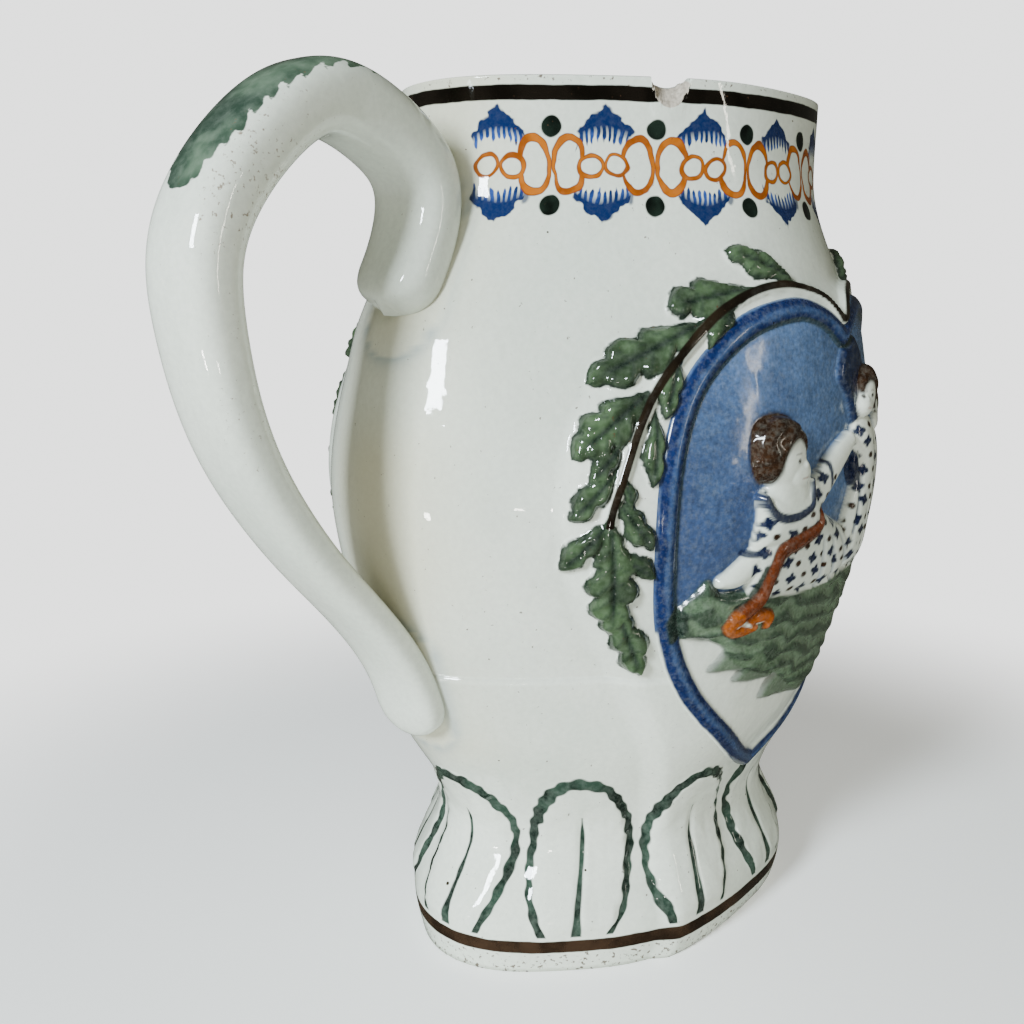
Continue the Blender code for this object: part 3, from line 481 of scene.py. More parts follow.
def columns():
    """Angles of the body's columns: close together at the shown garland and the chip, less so on
    the hidden side, and widest apart over plain wall. Their density is added up and shared out
    evenly."""
    angle = np.linspace(-np.pi, np.pi, 7201)
    shown = angle < 0
    belly = np.full(angle.shape, STATION_HEIGHTS[4])
    across = np.abs(drawing_across(arc_at(angle, belly), belly / MM, shown))
    garlands = smooth_step((across - 32) / 2) * smooth_step((58 - across) / 2)
    medallion = smooth_step((58 - across) / 2)
    chip = smooth_step(1.6 - np.abs(angle - CHIP_TURN) * STATION_SIZES[-1, 2] / (CHIP_WIDTH / 2))
    density = 0.5 + medallion * (0.25 + 0.45 * shown) + garlands * (0.15 + 0.7 * shown) + 1.6 * chip
    total = np.concatenate(((0.0,), np.cumsum((density[1:] + density[:-1]) / 2)))
    count = bpy.context.scene.jug_sizes.columns
    return np.interp(np.linspace(0, total[-1], count, endpoint=False), total, angle)


def row_places():
    """Places up the skin: 0 to 1 over the underside, 1 to 2 up the outer wall, 2 to 3 across
    the rim, 3 to 4 down the inner wall and 4 to 5 over the floor."""
    spans = ((0, 7, 1.1), (7, 37, 0.85), (37, 58, 1.4), (58, 127, 0.52), (127, 143, 1.8),
             (143, 150, 0.45))
    heights = [np.arange(low, high, step) for low, high, step in spans]
    wall = 1 + np.concatenate(heights) / 150
    down = np.array((0, 1, 2, 4, 8, 20, 34, 50, 68, 86, 104, 122, 134, 140))
    below_rim = RIM_HEIGHT / MM - down
    inner = 4 - (below_rim - FLOOR / MM) / ((RIM_HEIGHT - FLOOR) / MM)
    rim = np.linspace(2, 3, 9)[:-1]
    return np.concatenate(((0.35, 0.7, 0.93), wall, rim, inner, (4.0, 4.3, 4.7)))


def skin(angle, place):
    """A point of the body's skin, and the drawing's measures there. The outer wall is the bare
    wall moved outward by the relief, the rim is a low dome between the walls, and inside the
    hearts the skin lies a little lower, under the medallions."""
    zone = np.clip(np.floor(place), 0, 4)
    t = place - zone
    upward = np.where(zone == 1, t, np.where(zone == 3, 1 - t, (zone == 2) * 1.0))
    height = np.where(zone >= 3, FLOOR + (RIM_HEIGHT - FLOOR) * upward, RIM_HEIGHT * upward)
    rise, heart, leaves, stem, veins_and_shade = relief(angle, height)
    under_medallion = MEDALLION_SEAT * smooth_step((heart - 0.8) / 1.0)
    outer = bare_wall(angle, height)
    outer = outer + wall_normal(angle, height) * (MM * (rise - under_medallion))[..., None]

    thickness = WALL + (RIM_WALL - WALL) * smooth_step((height - NECK_HEIGHT) / RIM_RISE)
    inner = bare_wall(angle, height, thickness)
    share = np.where(zone == 2, t, 0)[..., None]
    rim = outer * (1 - share) + inner * share
    rim[..., 2] += RIM_ROUND * np.sin(np.pi * share[..., 0])
    z = zone[..., None]
    point = np.where(z == 2, rim, np.where(z >= 3, inner, outer))
    below_rim = smooth_step(1 + (height - RIM_HEIGHT) / (2 * CHIP_DEPTH))
    outer_share = np.select((zone == 2, zone < 2), (1 - t, below_rim), 0.0)
    inner_share = np.select((zone == 2, zone == 3), (t, below_rim), 0.0)
    bite = chip_bite(angle, height)
    chipped = bite * np.maximum(outer_share, inner_share)
    point[..., 2] -= bite * (CHIP_DEPTH * outer_share + CHIP_INNER_DEPTH * bite * inner_share)
    broken = np.where(zone == 2, smooth_step(bite / 0.25) * smooth_step((1 - t) / 0.1), 0.0)
    rough = 0.16 * MM * broken * noise(angle * 4000, 30 * place, 1.0, 32)
    from_axis = np.maximum(np.hypot(point[..., 0], point[..., 1]), 0.01)
    point[..., :2] *= (1 - rough / from_axis)[..., None]
    spread = np.where(zone == 0, t, np.where(zone == 4, 1 - t, 1.0))[..., None]
    flat = point * (1, 1, 0) * spread + point * (0, 0, 1)
    point = np.where((z == 0) | (z == 4), flat, point)
    outside = (zone < 2) | ((zone == 2) & (t < 0.01))
    pool, handle_shade = handle_side(angle, height / MM)
    marks = {"leaf": np.where(outside, leaves, -FAR), "stem": np.where(outside, stem, -FAR),
             "vein": np.where(outside, veins_and_shade, 0.0), "chip": broken, "bite": chipped,
             "pool": np.where(outside, pool, 0.0), "handle_shade": np.where(outside, handle_shade, 0.0)}
    return point, height, marks


def grid_mesh(name, points, low_pole, high_pole):
    """A mesh on a grid of points, rows by columns, whose columns close in a ring and whose ends
    are closed by fans to two poles. Seen from outside, rows run up and columns to the right."""
    rows, count = points.shape[:2]
    number = np.arange(rows * count).reshape(rows, count)
    right = np.roll(number, -1, axis=1)
    quads = np.stack((number[:-1], right[:-1], right[1:], number[1:]), -1).reshape(-1, 4)
    tip = np.full(count, rows * count)
    triangles = np.vstack((np.stack((right[0], number[0], tip), -1),
                           np.stack((number[-1], right[-1], tip + 1), -1)))
    vertices = np.vstack((points.reshape(-1, 3), low_pole, high_pole))
    return filled_mesh(name, vertices, quads, triangles)


def filled_mesh(name, points, quads, triangles):
    """A smooth-shaded mesh from points and the numbers of its faces' corners."""
    mesh = bpy.data.meshes.new(name)
    loops = np.concatenate((quads.ravel(), triangles.ravel())).astype(np.int32)
    starts = np.concatenate((np.arange(len(quads)) * 4,
                             len(quads) * 4 + np.arange(len(triangles)) * 3)).astype(np.int32)
    mesh.vertices.add(len(points))
    mesh.vertices.foreach_set("co", points.astype(np.float32).ravel())
    mesh.loops.add(len(loops))
    mesh.loops.foreach_set("vertex_index", loops)
    mesh.polygons.add(len(starts))
    mesh.polygons.foreach_set("loop_start", starts)
    mesh.update(calc_edges=True)
    mesh.validate()
    mesh.shade_smooth()
    return mesh


def add_mark(mesh, name, values):
    """Stores one number for each point of a mesh; poles past the grid get zero."""
    mark = mesh.attributes.new(name, "FLOAT", "POINT")
    filled = np.zeros(len(mesh.vertices), np.float32)
    filled[:values.size] = values.ravel()
    mark.data.foreach_set("value", filled)


def add_paint(mesh, name, colours):
    """Stores a linear colour with its strength for each point of a mesh."""
    layer = mesh.color_attributes.new(name, "FLOAT_COLOR", "POINT")
    filled = np.zeros((len(mesh.vertices), 4), np.float32)
    filled[:colours.reshape(-1, 4).shape[0]] = colours.reshape(-1, 4)
    layer.data.foreach_set("color", filled.ravel())


def add_map(mesh, name, across, up):
    """Stores a flat map of a ringed grid, whose last column runs on past the seam."""
    rows, count = across.shape[0], across.shape[1] - 1
    layer = mesh.uv_layers.new(name=name, do_init=False)
    flat = np.zeros((len(mesh.loops), 2), np.float32)
    corners = ((0, 0), (0, 1), (1, 1), (1, 0))
    quads = (rows - 1) * count
    for k, (dr, dc) in enumerate(corners):
        u = across[dr:rows - 1 + dr, dc:count + dc]
        v = up[dr:rows - 1 + dr, dc:count + dc]
        flat[k:quads * 4:4, 0] = u.ravel()
        flat[k:quads * 4:4, 1] = v.ravel()
    layer.data.foreach_set("uv", flat.ravel())


# The painted border of the neck, in millimetres: its fans stand at whole motifs.
BORDER_PITCH, BORDER_FIRST, BORDER_HEIGHT = 16.0, -3.0, 137.2
BORDER_LIP_STRETCH = 3.8
FOOT_LEAF_PITCH = 4 * float(quarter_at(LEAF_WIDEST * MM)) / FOOT_LEAVES
FOOT_LEAF_HALF = LEAF_SHARE * FOOT_LEAF_PITCH
FIRST_FAN, FIRST_LINK = -3.28, -2.97
FAN_TIP, FAN_HALF, FAN_FOOT = 8.6, 4.1, 4.0
FAN_STROKE, FAN_ARCH = 0.9, 1.2
DOT_OFF, DOT_HALF = 5.7, 1.55
SMALL_RING_OFF, SMALL_RING = 1.95, (1.72, 1.6, 1.0)
BIG_RING_OFF, BIG_RING = 5.35, (2.35, 3.9, 1.0)
# The brown bands of the rim and the foot: height, half width, thin colour and deep colour.
BANDS = ((147.6, 1.1, "#120E0A", "#080604"), (5.6, 1.25, "#35271C", "#1F160F"))
# The height that the maps give to the inside, past everything that is painted.
NO_PAINT = 200.0


def border_across(angle):
    """Place along the neck's border in motifs: the arc over the pitch, eased toward the lip so
    that a motif falls on it, and running on evenly from side to side."""
    arc = arc_at(angle, np.full(angle.shape, BORDER_HEIGHT * MM))
    even = arc - BORDER_LIP_STRETCH * smooth_step((arc - 12) / 52)
    return (even - BORDER_FIRST) / BORDER_PITCH


def place_piece(context, mesh, material):
    """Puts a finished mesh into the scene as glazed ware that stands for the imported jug."""
    piece = bpy.data.objects.new(mesh.name, mesh)
    context.scene.collection.objects.link(piece)
    mesh.materials.append(material)
    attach(piece, "root")
    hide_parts("jug")


class JUG_OT_body(bpy.types.Operator):
    """Builds the jug's body: its outer wall with panels, garlands and foot leaves, its lip, its
    chipped rim and its plain inside, as one closed surface"""
    bl_idname = "jug.body"
    bl_label = "Body"

    def execute(self, context):
        angle = columns()
        place = row_places()
        angles, places = np.meshgrid(angle, place)
        points, height, marks = skin(angles, places)
        low = points[0].mean(0) * (0, 0, 1)
        high = points[-1].mean(0) * (0, 0, 1)
        mesh = grid_mesh("jug_body", points, low, high)
        for name in ("leaf", "stem", "vein", "chip", "pool", "handle_shade"):
            add_mark(mesh, name, marks[name])
        seam = np.concatenate((angle, angle[:1] + 2 * np.pi))
        wide, tall = np.meshgrid(seam, place)
        up = np.concatenate((height, height[:, :1]), 1) / MM
        inside = tall > 2.01
        share = arc_at(wide, up * MM) / quarter_at(up * MM)
        side = np.where(wide < 0, -1, 1)
        turn = np.where(wide >= np.pi - 1e-6, 2.0, side * (1 - share))
        leaf_number = turn * FOOT_LEAVES / 4
        add_map(mesh, "foot", leaf_number, np.where(inside, NO_PAINT, up))
        motif = border_across(wide)
        bite = np.concatenate((marks["bite"], marks["bite"][:, :1]), 1)
        up = up - CHIP_DEPTH / MM * bite
        add_map(mesh, "border", motif, np.where(inside, NO_PAINT, up))
        place_piece(context, mesh, painted_wall())
        return {"FINISHED"}


class Picture:
    """A flat drawing on a grid of places, in millimetres: what is raised on it and the colours
    laid over the bare glaze, each with how thickly it covers."""

    def __init__(self, across, up):
        self.across, self.up = across, up
        self.rise = np.zeros(across.shape)
        self.colour = np.ones(across.shape + (3,))
        self.cover = np.zeros(across.shape)

    def within(self, outline):
        """Depth inside a smooth closed outline through a few points."""
        return depth_inside(closed_curve(outline), self.across, self.up)

    def along(self, points, widths):
        """Depth inside a stroke along a smooth line, whose width eases from point to point."""
        line = curve_through(points)
        run = np.linspace(0, 1, len(points))
        half = np.interp(np.linspace(0, 1, len(line)), run, widths) / 2
        return stroke_inside(line, half, self.across, self.up)

    def oval(self, middle, half_wide, half_tall, lean=0.0):
        """Depth inside an oval that leans by some degrees: how far its scaled radius is short
        of one, over that radius's slope."""
        turn = np.radians(lean)
        x, y = self.across - middle[0], self.up - middle[1]
        x, y = x * np.cos(turn) + y * np.sin(turn), y * np.cos(turn) - x * np.sin(turn)
        k = np.hypot(x / half_wide, y / half_tall)
        slope = np.hypot(x / half_wide ** 2, y / half_tall ** 2) / np.maximum(k, 1e-6)
        return (1 - k) / np.maximum(slope, 1e-6)

    def model(self, depth, rise, round_over, base=0.0):
        """Raises a form with a round edge: a quarter circle over the first of its depth."""
        into = np.clip(depth / round_over, 0, 1)
        form = base + (rise - base) * np.sqrt(1 - (1 - into) ** 2)
        self.rise = np.where(depth > 0, np.maximum(self.rise, form), self.rise)

    def bare_form(self, depth, rise, round_over, base=0.0):
        """Raises a form and wipes it clean, so that the white glaze shows."""
        self.model(depth, rise, round_over, base)
        self.paint(depth, None)

    def groove(self, depth, sink, soft=0.5):
        """Lowers what a stroke covers, with soft sides."""
        self.rise = self.rise - sink * smooth_step(depth / soft + 0.5)

    def paint(self, depth, colour, thickness=1.0, soft=0.3):
        """Lays a colour over what a shape covers; where it has none, the glaze is bare again."""
        share = smooth_step(depth / soft + 0.5)
        if colour is None:
            self.cover = self.cover * (1 - share)
            return
        share = share * thickness
        under = self.cover * (1 - share)
        cover = under + share
        blend = (share / np.maximum(cover, 1e-6))[..., None]
        self.colour = self.colour * (1 - blend) + np.array(linear(colour)[:3]) * blend
        self.cover = cover


def linear(hex_colour):
    """A written sRGB colour as linear red, green and blue, opaque."""
    value = hex_colour.lstrip("#")
    parts = np.array([int(value[i:i + 2], 16) for i in (0, 2, 4)]) / 255
    curved = np.where(parts <= 0.04045, parts / 12.92, ((parts + 0.055) / 1.055) ** 2.4)
    return (*curved.tolist(), 1.0)


FIELD_DARK, FIELD_LIGHT, BLUE_RIM, BLUE_DARK = "#233A63", "#557096", "#12234C", "#101A36"
GREEN, GREEN_DARK, BROWN, SASH, SASH_BRIGHT = "#53674E", "#1D2A22", "#2E1D11", "#5A2A12", "#8C460E"

# The ground and the pointed tufts under it.
GROUND = ((-36, 70), (-34.8, 71.6), (-33, 73.4), (-31.5, 74.9), (-29.8, 73.6), (-28, 72.4),
          (-20, 72.9), (-14, 71.9), (-8.8, 71.4), (-4.5, 72.6), (12.8, 71.9), (24, 73), (33, 73),
          (36.5, 68), (34, 64), (26, 59.5), (19, 55), (11, 49.5), (3, 47), (-3.5, 50.5),
          (-9.5, 54), (-18, 56.9), (-24.2, 61.1), (-25.8, 62.9), (-30.2, 64.9), (-34, 65.2),
          (-36.4, 66.5))
TUFTS = (((-24.2, 61.5), (-25.4, 60.2), (-26.4, 58.2), (-22, 57.4), (-18, 57), (-16, 59.5),
          (-20, 61.5)),
         ((-18.2, 58.2), (-20.8, 55.6), (-18.2, 54.3), (-14, 53.8), (-9.8, 53.8), (-10, 57),
          (-14, 59)),
         ((-9.4, 53.8), (-11.2, 49.6), (-8, 48.6), (-4.8, 48.1), (1, 46.8), (6.2, 45.6), (8, 49),
          (2, 52), (-4, 54)),
         ((6, 47), (11, 45.8), (15, 47.6), (18, 50.4), (14, 54), (8, 52)),
         ((16, 51), (20, 51.5), (25, 55.5), (27, 59.5), (22, 60.5), (17, 56)))


def dotted_dress(picture, depth, seed, middle, reach):
    """Scatters blue four-petalled flowers and brown dots over a white dress: places on a
    slanting lattice, each moved a little."""
    rng = np.random.default_rng(seed)
    lattice = [(i, j) for j in range(-6, 7) for i in range(-8, 9)]
    for i, j in lattice:
        x = middle[0] + 3.3 * i + 1.6 * (j % 2) + rng.uniform(-0.4, 0.4)
        y = middle[1] + 2.5 * j + rng.uniform(-0.4, 0.4)
        if abs(x - middle[0]) > reach or abs(y - middle[1]) > reach:
            continue
        if (i + j) % 2:
            lean = rng.uniform(-20, 20)
            petals = np.maximum(picture.oval((x, y), 1.4, 0.58, lean),
                                picture.oval((x, y), 0.62, 1.1, lean))
            picture.paint(np.minimum(petals, depth - 0.2), BLUE_DARK, 1.0, 0.25)
        else:
            dot = picture.oval((x, y), 0.75, 0.55)
            picture.paint(np.minimum(dot, depth - 0.2), BROWN, 1.0, 0.25)


# A head of hair about a head's middle, in millimetres, for one that looks right.
CURLS = ((-6.2, 2.2), (-5.4, 4.8), (-3.0, 6.2), (-0.2, 6.3), (2.4, 5.3), (3.9, 3.2), (4.3, 1.0),
         (3.7, 0.2), (3.0, 1.6), (1.4, 2.6), (-0.6, 1.8), (-2.0, 0.0), (-2.9, -2.2), (-4.0, -3.9),
         (-5.4, -3.6), (-6.3, -1.1))


def head(picture, middle, turn, rise=3.0, size=1.0):
    """A small modelled head: a ball, a chin, a button nose, a dot for each eye, a short stroke
    for the mouth and a cap of waved hair. It looks to the side."""
    x, y = middle

    def at(a, b):
        return (x + a * turn * size, y + b * size)

    ball = picture.oval(at(-0.7, 0.2), 5.2 * size, 5.8 * size, 8 * turn)
    picture.bare_form(ball, rise, 5.0 * size, 0.8)
    chin = picture.oval(at(1.8, -2.9), 3.5 * size, 3.0 * size)
    picture.bare_form(chin, rise * 0.97, 2.8 * size, 0.8)
    nose = picture.oval(at(3.0, -1.4), 0.8 * size, 0.9 * size)
    picture.rise = picture.rise + 0.3 * smooth_step(nose / 0.7)
    for a, thick in ((1.0, 0.42), (3.7, 0.34)):
        picture.paint(picture.oval(at(a, -0.9), thick, 0.34), "#2A2320", 0.95, 0.2)
        brow = picture.along([at(a - 0.8, 0.1), at(a + 0.5, 0.2)], (0.2, 0.3))
        picture.paint(brow, "#5A4636", 0.6, 0.25)
    mouth = picture.along([at(1.8, -3.7), at(3.2, -3.5)], (0.3, 0.35))
    picture.paint(mouth, "#8E5A48", 0.6, 0.25)
    cap = picture.within([at(a, b) for a, b in CURLS])
    strands = np.sin(2.0 * (picture.across - x) * turn - 1.6 * (picture.up - y)
                     + 3.5 * noise(picture.across, picture.up, 2.4, 41))
    picture.rise = picture.rise + smooth_step(cap / 0.6) * (0.5 + 0.13 * strands)
    picture.paint(cap + 0.5, BLUE_DARK, 0.55, 0.5)
    picture.paint(cap + 0.15, BROWN, 1.0, 0.3)
    picture.paint(np.minimum(cap - 0.3, 0.4 * strands - 0.1), "#1F140D", 0.7, 0.3)


def shown_children(picture):
    """The shown medallion: a seated child in a dotted dress reaches up to a second child who
    kneels beside it, with a third behind; a sash hangs from the first one's waist."""
    drape = picture.within(((2, 112), (7, 108), (8.5, 100), (7, 92), (4.2, 86), (2, 87.4), (3, 95),
                            (0.8, 101), (-2.2, 104.4), (-0.8, 109)))
    picture.model(drape, 1.1, 1.2)
    picture.paint(drape, BLUE_DARK, 0.95)

    third = picture.within(((16, 94), (23, 92), (28, 84), (30, 74), (24, 71), (14, 72), (12, 84)))
    picture.bare_form(third, 2.1, 5.0)
    dotted_dress(picture, third, 7, (21, 82), 13)
    head(picture, (19, 97.5), -1, 2.5, 0.66)

    body = picture.within(((3.5, 97), (10, 97.5), (14.5, 91), (16, 80), (17, 72), (8, 70.5),
                           (0, 72.5), (0.5, 80), (2.8, 86), (4.4, 90), (2.4, 93)))
    picture.bare_form(body, 2.5, 5.0)
    for foot, top in (((2.5, 74), (5, 88)), ((8, 73), (8.5, 86)), ((13, 74), (11, 86))):
        fold = picture.along((foot, top), (0.9, 0.3))
        picture.groove(fold, 0.5, 1.2)
        picture.paint(np.minimum(fold, body), FIELD_DARK, 0.7, 0.5)
    dotted_dress(picture, body, 5, (9, 83), 14)
    fold = picture.within(((0.2, 90.2), (2.2, 91.2), (4.6, 89.6), (4.4, 86.2), (2.2, 86.2)))
    picture.paint(fold, BLUE_DARK, 0.9, 0.4)
    head(picture, (7.2, 101.5), -1, 3.0, 0.75)

    skirt = picture.within(((-24.8, 79.1), (-20, 82), (-14, 84.5), (-8.5, 83.4), (-3, 81), (3, 78),
                            (6, 72.6), (-2, 70), (-12, 70.2), (-20, 71.2), (-24, 72)))
    picture.bare_form(skirt, 2.3, 4.0)
    for foot, top in (((-1, 70.5), (-5, 79)), ((-6, 70.5), (-8, 79)), ((3, 72.5), (-2, 79.5))):
        fold = picture.along((foot, top), (1.1, 0.3))
        picture.groove(fold, 0.45, 1.2)
        picture.paint(np.minimum(fold, skirt), FIELD_LIGHT, 0.4, 0.6)
    leg = picture.along(((-22.5, 78.2), (-26.5, 75.4), (-29.2, 74.6)), (5.4, 4.2, 2.2))
    picture.bare_form(leg, 1.8, 2.2)
    bodice = picture.within(((-24, 88), (-20, 89.4), (-13.5, 89.4), (-9.4, 87), (-8.4, 81),
                             (-14, 78.5), (-21, 78.6), (-24.6, 79.4), (-24.1, 84)))
    picture.bare_form(bodice, 2.5, 4.5)
    neck = picture.along(((-18.6, 91), (-17.6, 87)), (7.6, 9.4))
    picture.bare_form(neck, 2.45, 3.4, 0.8)
    arm = picture.along(((-10.4, 86.8), (-6.8, 89.4), (-3, 92), (0.6, 94)), (5.4, 4.8, 4.2, 3.0))
    picture.bare_form(arm, 2.1, 2.0, 0.8)
    sleeve = picture.along(((-11, 86.4), (-8.2, 88.6)), (5.6, 5.0))
    dress = np.maximum.reduce((skirt, bodice, sleeve))
    dotted_dress(picture, np.minimum(dress, -neck), 3, (-13, 79), 17)
    collar = picture.along(((-23.8, 87.6), (-22.4, 85.4), (-20.2, 84.2), (-16.8, 84.1),
                            (-13.5, 85.2), (-13.2, 87.1), (-13.4, 89.3)),
                           (1.2, 1.4, 1.5, 1.5, 1.4, 1.3, 0.9))
    picture.model(collar, 2.65, 0.8, 2.2)
    picture.paint(collar, BLUE_DARK, 0.97, 0.3)
    for ends in (((-7.9, 91.4), (-7.2, 87.4)), ((-26.2, 78.9), (-22, 78.9))):
        picture.paint(picture.along(ends, (1.0, 0.9)), BLUE_DARK, 0.95, 0.3)
    head(picture, (-18.6, 93.6), 1)

    strip = picture.along(((-22.2, 76.6), (-22.8, 73.6), (-23.4, 71.4), (-25.8, 70.2)),
                          (1.0, 1.5, 1.5, 1.2))
    picture.paint(strip, GREEN_DARK, 0.95, 0.3)
    sash = picture.along(((-10.5, 84.4), (-10.2, 81.6), (-14.8, 80.1), (-19, 79), (-20.2, 77.2),
                          (-21, 74.6), (-21.8, 71.4), (-24, 69.6), (-25.8, 68.2)),
                         (0.5, 2.2, 2.7, 2.6, 2.6, 2.5, 2.5, 2.6, 3.0))
    bow = np.maximum(picture.along(((-25.8, 68.6), (-26.3, 67.2), (-24.6, 66.1), (-21.6, 66.4)),
                                   (2.4, 2.4, 2.2, 1.8)),
                     picture.along(((-24, 66.8), (-21.6, 68.1), (-18.6, 67.6), (-18.6, 66.2)),
                                   (1.8, 2.2, 2.2, 1.6)))
    picture.model(sash, 2.75, 1.0, 1.6)
    picture.model(bow, 2.5, 1.0, 1.5)
    picture.paint(np.maximum(sash, bow) + 0.2, BROWN, 0.9, 0.3)
    picture.paint(sash, SASH, 0.97, 0.3)
    picture.paint(bow, SASH_BRIGHT, 0.97, 0.3)
    # Painted highlights: thin strokes over the bow's loops are wiped bare, so the white glaze
    # shows.
    for points in (((-25.4, 67.4), (-24, 67.6), (-22.6, 66.9)), ((-21.4, 67.2), (-20.2, 67.0))):
        picture.paint(picture.along(points, (0.3, 0.6, 0.2)[:len(points)]), None, 1, 0.3)


def hidden_child(picture):
    """The other medallion, plainer: one seated child in a dotted dress, with one arm out."""
    skirt = picture.within(((-6, 84), (4, 84), (12, 80), (20, 74), (16, 70.5), (-4, 70.5),
                            (-10, 73)))
    picture.bare_form(skirt, 1.9, 5.0)
    bodice = picture.within(((-6, 90), (2, 90), (5, 84), (4, 78), (-6, 78), (-7.5, 84)))
    picture.bare_form(bodice, 2.0, 4.5)
    arm = picture.along(((2, 87), (7, 88.5), (11.5, 92)), (4.6, 4.0, 2.6))
    picture.bare_form(arm, 1.8, 2.0, 0.8)
    dotted_dress(picture, np.maximum(skirt, bodice), 9, (2, 80), 17)
    collar = picture.along(((-5.5, 88), (-2, 86), (1.6, 88)), (1.2, 1.4, 1.2))
    picture.paint(collar, BLUE_DARK, 0.95, 0.3)
    sash = picture.along(((-6.8, 82), (0, 80.8), (5.6, 82), (9, 77), (11, 73)),
                         (2.2, 2, 2.2, 2, 2.6))
    picture.model(sash, 2.3, 1.0, 1.4)
    picture.paint(sash, SASH, 0.95, 0.3)
    head(picture, (-2, 95.5), 1, 2.4, 0.8)


def medallion_picture(across, up, figures):
    """What is raised and painted inside a heart: its blue rim, its blue field, a bank of green
    ground over pointed tufts, and the figures."""
    picture = Picture(across, up)
    heart = depth_inside(HEART_LINE, across, up)
    uneven = 0.6 * noise(across, up, 3.0, 51) + 0.3 * noise(across, up, 1.1, 52)
    sky_line = np.interp(across, (-40, -34, -30, 20, 40), (66, 69, 72, 72, 66))
    picture.paint(up - sky_line, FIELD_DARK, 0.97, 1.2)
    light = (across + 34) / 30 + (up - 92) / 60 + 0.45 * noise(across, up, 8.0, 55) + 0.3 * uneven
    picture.paint(np.minimum(up - sky_line, light - 0.3), FIELD_LIGHT, 0.75, 1.4)
    picture.rise = picture.rise + 0.06 * noise(across, up, 1.6, 53)

    ripple = np.sin(1.9 * up + 0.35 * across + 2.4 * noise(across, up, 3.4, 54))
    for outline in TUFTS:
        tuft = picture.within(outline) + 0.25 * uneven
        picture.model(tuft, 0.9, 1.4)
        picture.paint(tuft + 0.2, GREEN_DARK, 0.75, 0.6)
        picture.paint(tuft - 0.5, GREEN, 0.75, 1.2)
    bank = picture.within(GROUND)
    picture.model(bank, 1.5, 2.2)
    picture.rise = picture.rise + smooth_step(bank / 1.5) * 0.2 * ripple
    picture.paint(bank + 0.3 * uneven, GREEN, 0.97, 0.5)
    dark = np.minimum(bank, 0.5 * ripple - 0.15 + 0.6 * uneven)
    picture.paint(dark, GREEN_DARK, 0.7, 0.6)
    brow = np.minimum(bank + 0.3, 0.8 - bank) + 0.5 * uneven
    picture.paint(np.minimum(brow, up - 64), GREEN_DARK, 0.6, 0.6)
    figures(picture)

    picture.rise = picture.rise * (1 - LIP_SIDE_FALL * smooth_step((across - FALL_FROM)
                                                                   / (FALL_TO - FALL_FROM)))
    picture.rise = picture.rise * smooth_step((heart - 2.6) / 1.2)
    bead = np.sqrt(np.clip(1 - ((heart - RIM_BEAD_HALF) / BEAD_FOOT) ** 2, 0, 1))
    field = smooth_step((heart - RIM_BEAD_HALF) / BEAD_FOOT)
    picture.rise = np.maximum(0.8 * bead, picture.rise) - FIELD_SINK * field
    picture.rise = picture.rise - 0.4 * smooth_step((-0.42 - heart) / 0.2)
    band = np.minimum(heart + 0.1, 3.0 - heart) + 0.12 * uneven
    picture.paint(band, BLUE_RIM, 1.0, 0.4)
    picture.paint(0.5 - np.abs(heart - 1.7) + 0.4 * uneven, FIELD_LIGHT, 0.35, 0.7)
    # A painted shadow: a thin dark line along the bead's inner foot in the heart's upper part.
    picture.paint(0.34 - np.abs(heart - 3.05), "#26352F", 0.8 * (up > 70), 0.3)
    patch = picture.oval((-35.4, 68), 1.9, 3.0)
    picture.paint(np.minimum(patch, heart - 1.2), GREEN_DARK, 0.97, 0.6)
    return picture


def build_medallion(context, name, side, cells, figures):
    """One medallion's raised surface: a square grid drawn out to a disc, whose edge is pulled
    to the heart's outline by the outline's radius in each direction. Its edge dips just under
    the wall, and behind it the piece is closed by a coarser copy sunk into the wall."""
    square = np.linspace(-1, 1, cells)
    u, v = np.meshgrid(square, square)
    x, y = u * np.sqrt(1 - v * v / 2), v * np.sqrt(1 - u * u / 2)
    outline = np.vstack((HEART_LINE, HEART_LINE[:1])) - HEART_MIDDLE
    turn = np.unwrap(np.arctan2(outline[:, 1], outline[:, 0]))
    reach = np.hypot(outline[:, 0], outline[:, 1]) + HEART_OVERLAP
    around = np.arctan2(y, x)
    around = turn[0] + (around - turn[0]) % (2 * np.pi)
    stretch = np.interp(around, turn, reach)
    across, up = HEART_MIDDLE[0] + x * stretch, HEART_MIDDLE[1] + y * stretch
    picture = medallion_picture(across, up, figures)
    height, arc = up * MM, drawing_arc(across, up, side < 0)
    angle = angle_at(arc, height, side)
    rise = panel_rise(arc, up) + PICTURE_SHARE * picture.rise + wall_waves(arc, up, side < 0)
    wall, facing = bare_wall(angle, height), wall_normal(angle, height)
    shown = wall + facing * (MM * rise)[..., None]
    edge = ring_of(cells)
    back = np.unravel_index(edge, (cells, cells))
    behind = wall[back] + facing[back] * (MM * (rise.min() - 1.0))
    middle = np.array(HEART_MIDDLE[1])
    heart_arc = drawing_arc(np.array(HEART_MIDDLE[0]), middle, side < 0)
    centre = bare_wall(angle_at(heart_arc, middle * MM, side), middle * MM)
    inner = behind * 0.6 + centre * 0.4 - facing[back] * 0.5 * MM
    mesh = patch_mesh(name, shown, edge, (behind, inner), centre * (0.93, 0.93, 1), side > 0)
    colours = np.concatenate((picture.colour, picture.cover[..., None]), -1)
    add_paint(mesh, "paint", colours)
    place_piece(context, mesh, painted_medallion())


def ring_of(cells):
    """The numbers of a square grid's outer points, in order round it."""
    number = np.arange(cells * cells).reshape(cells, cells)
    return np.concatenate((number[0, :-1], number[:-1, -1], number[-1, :0:-1], number[:0:-1, 0]))


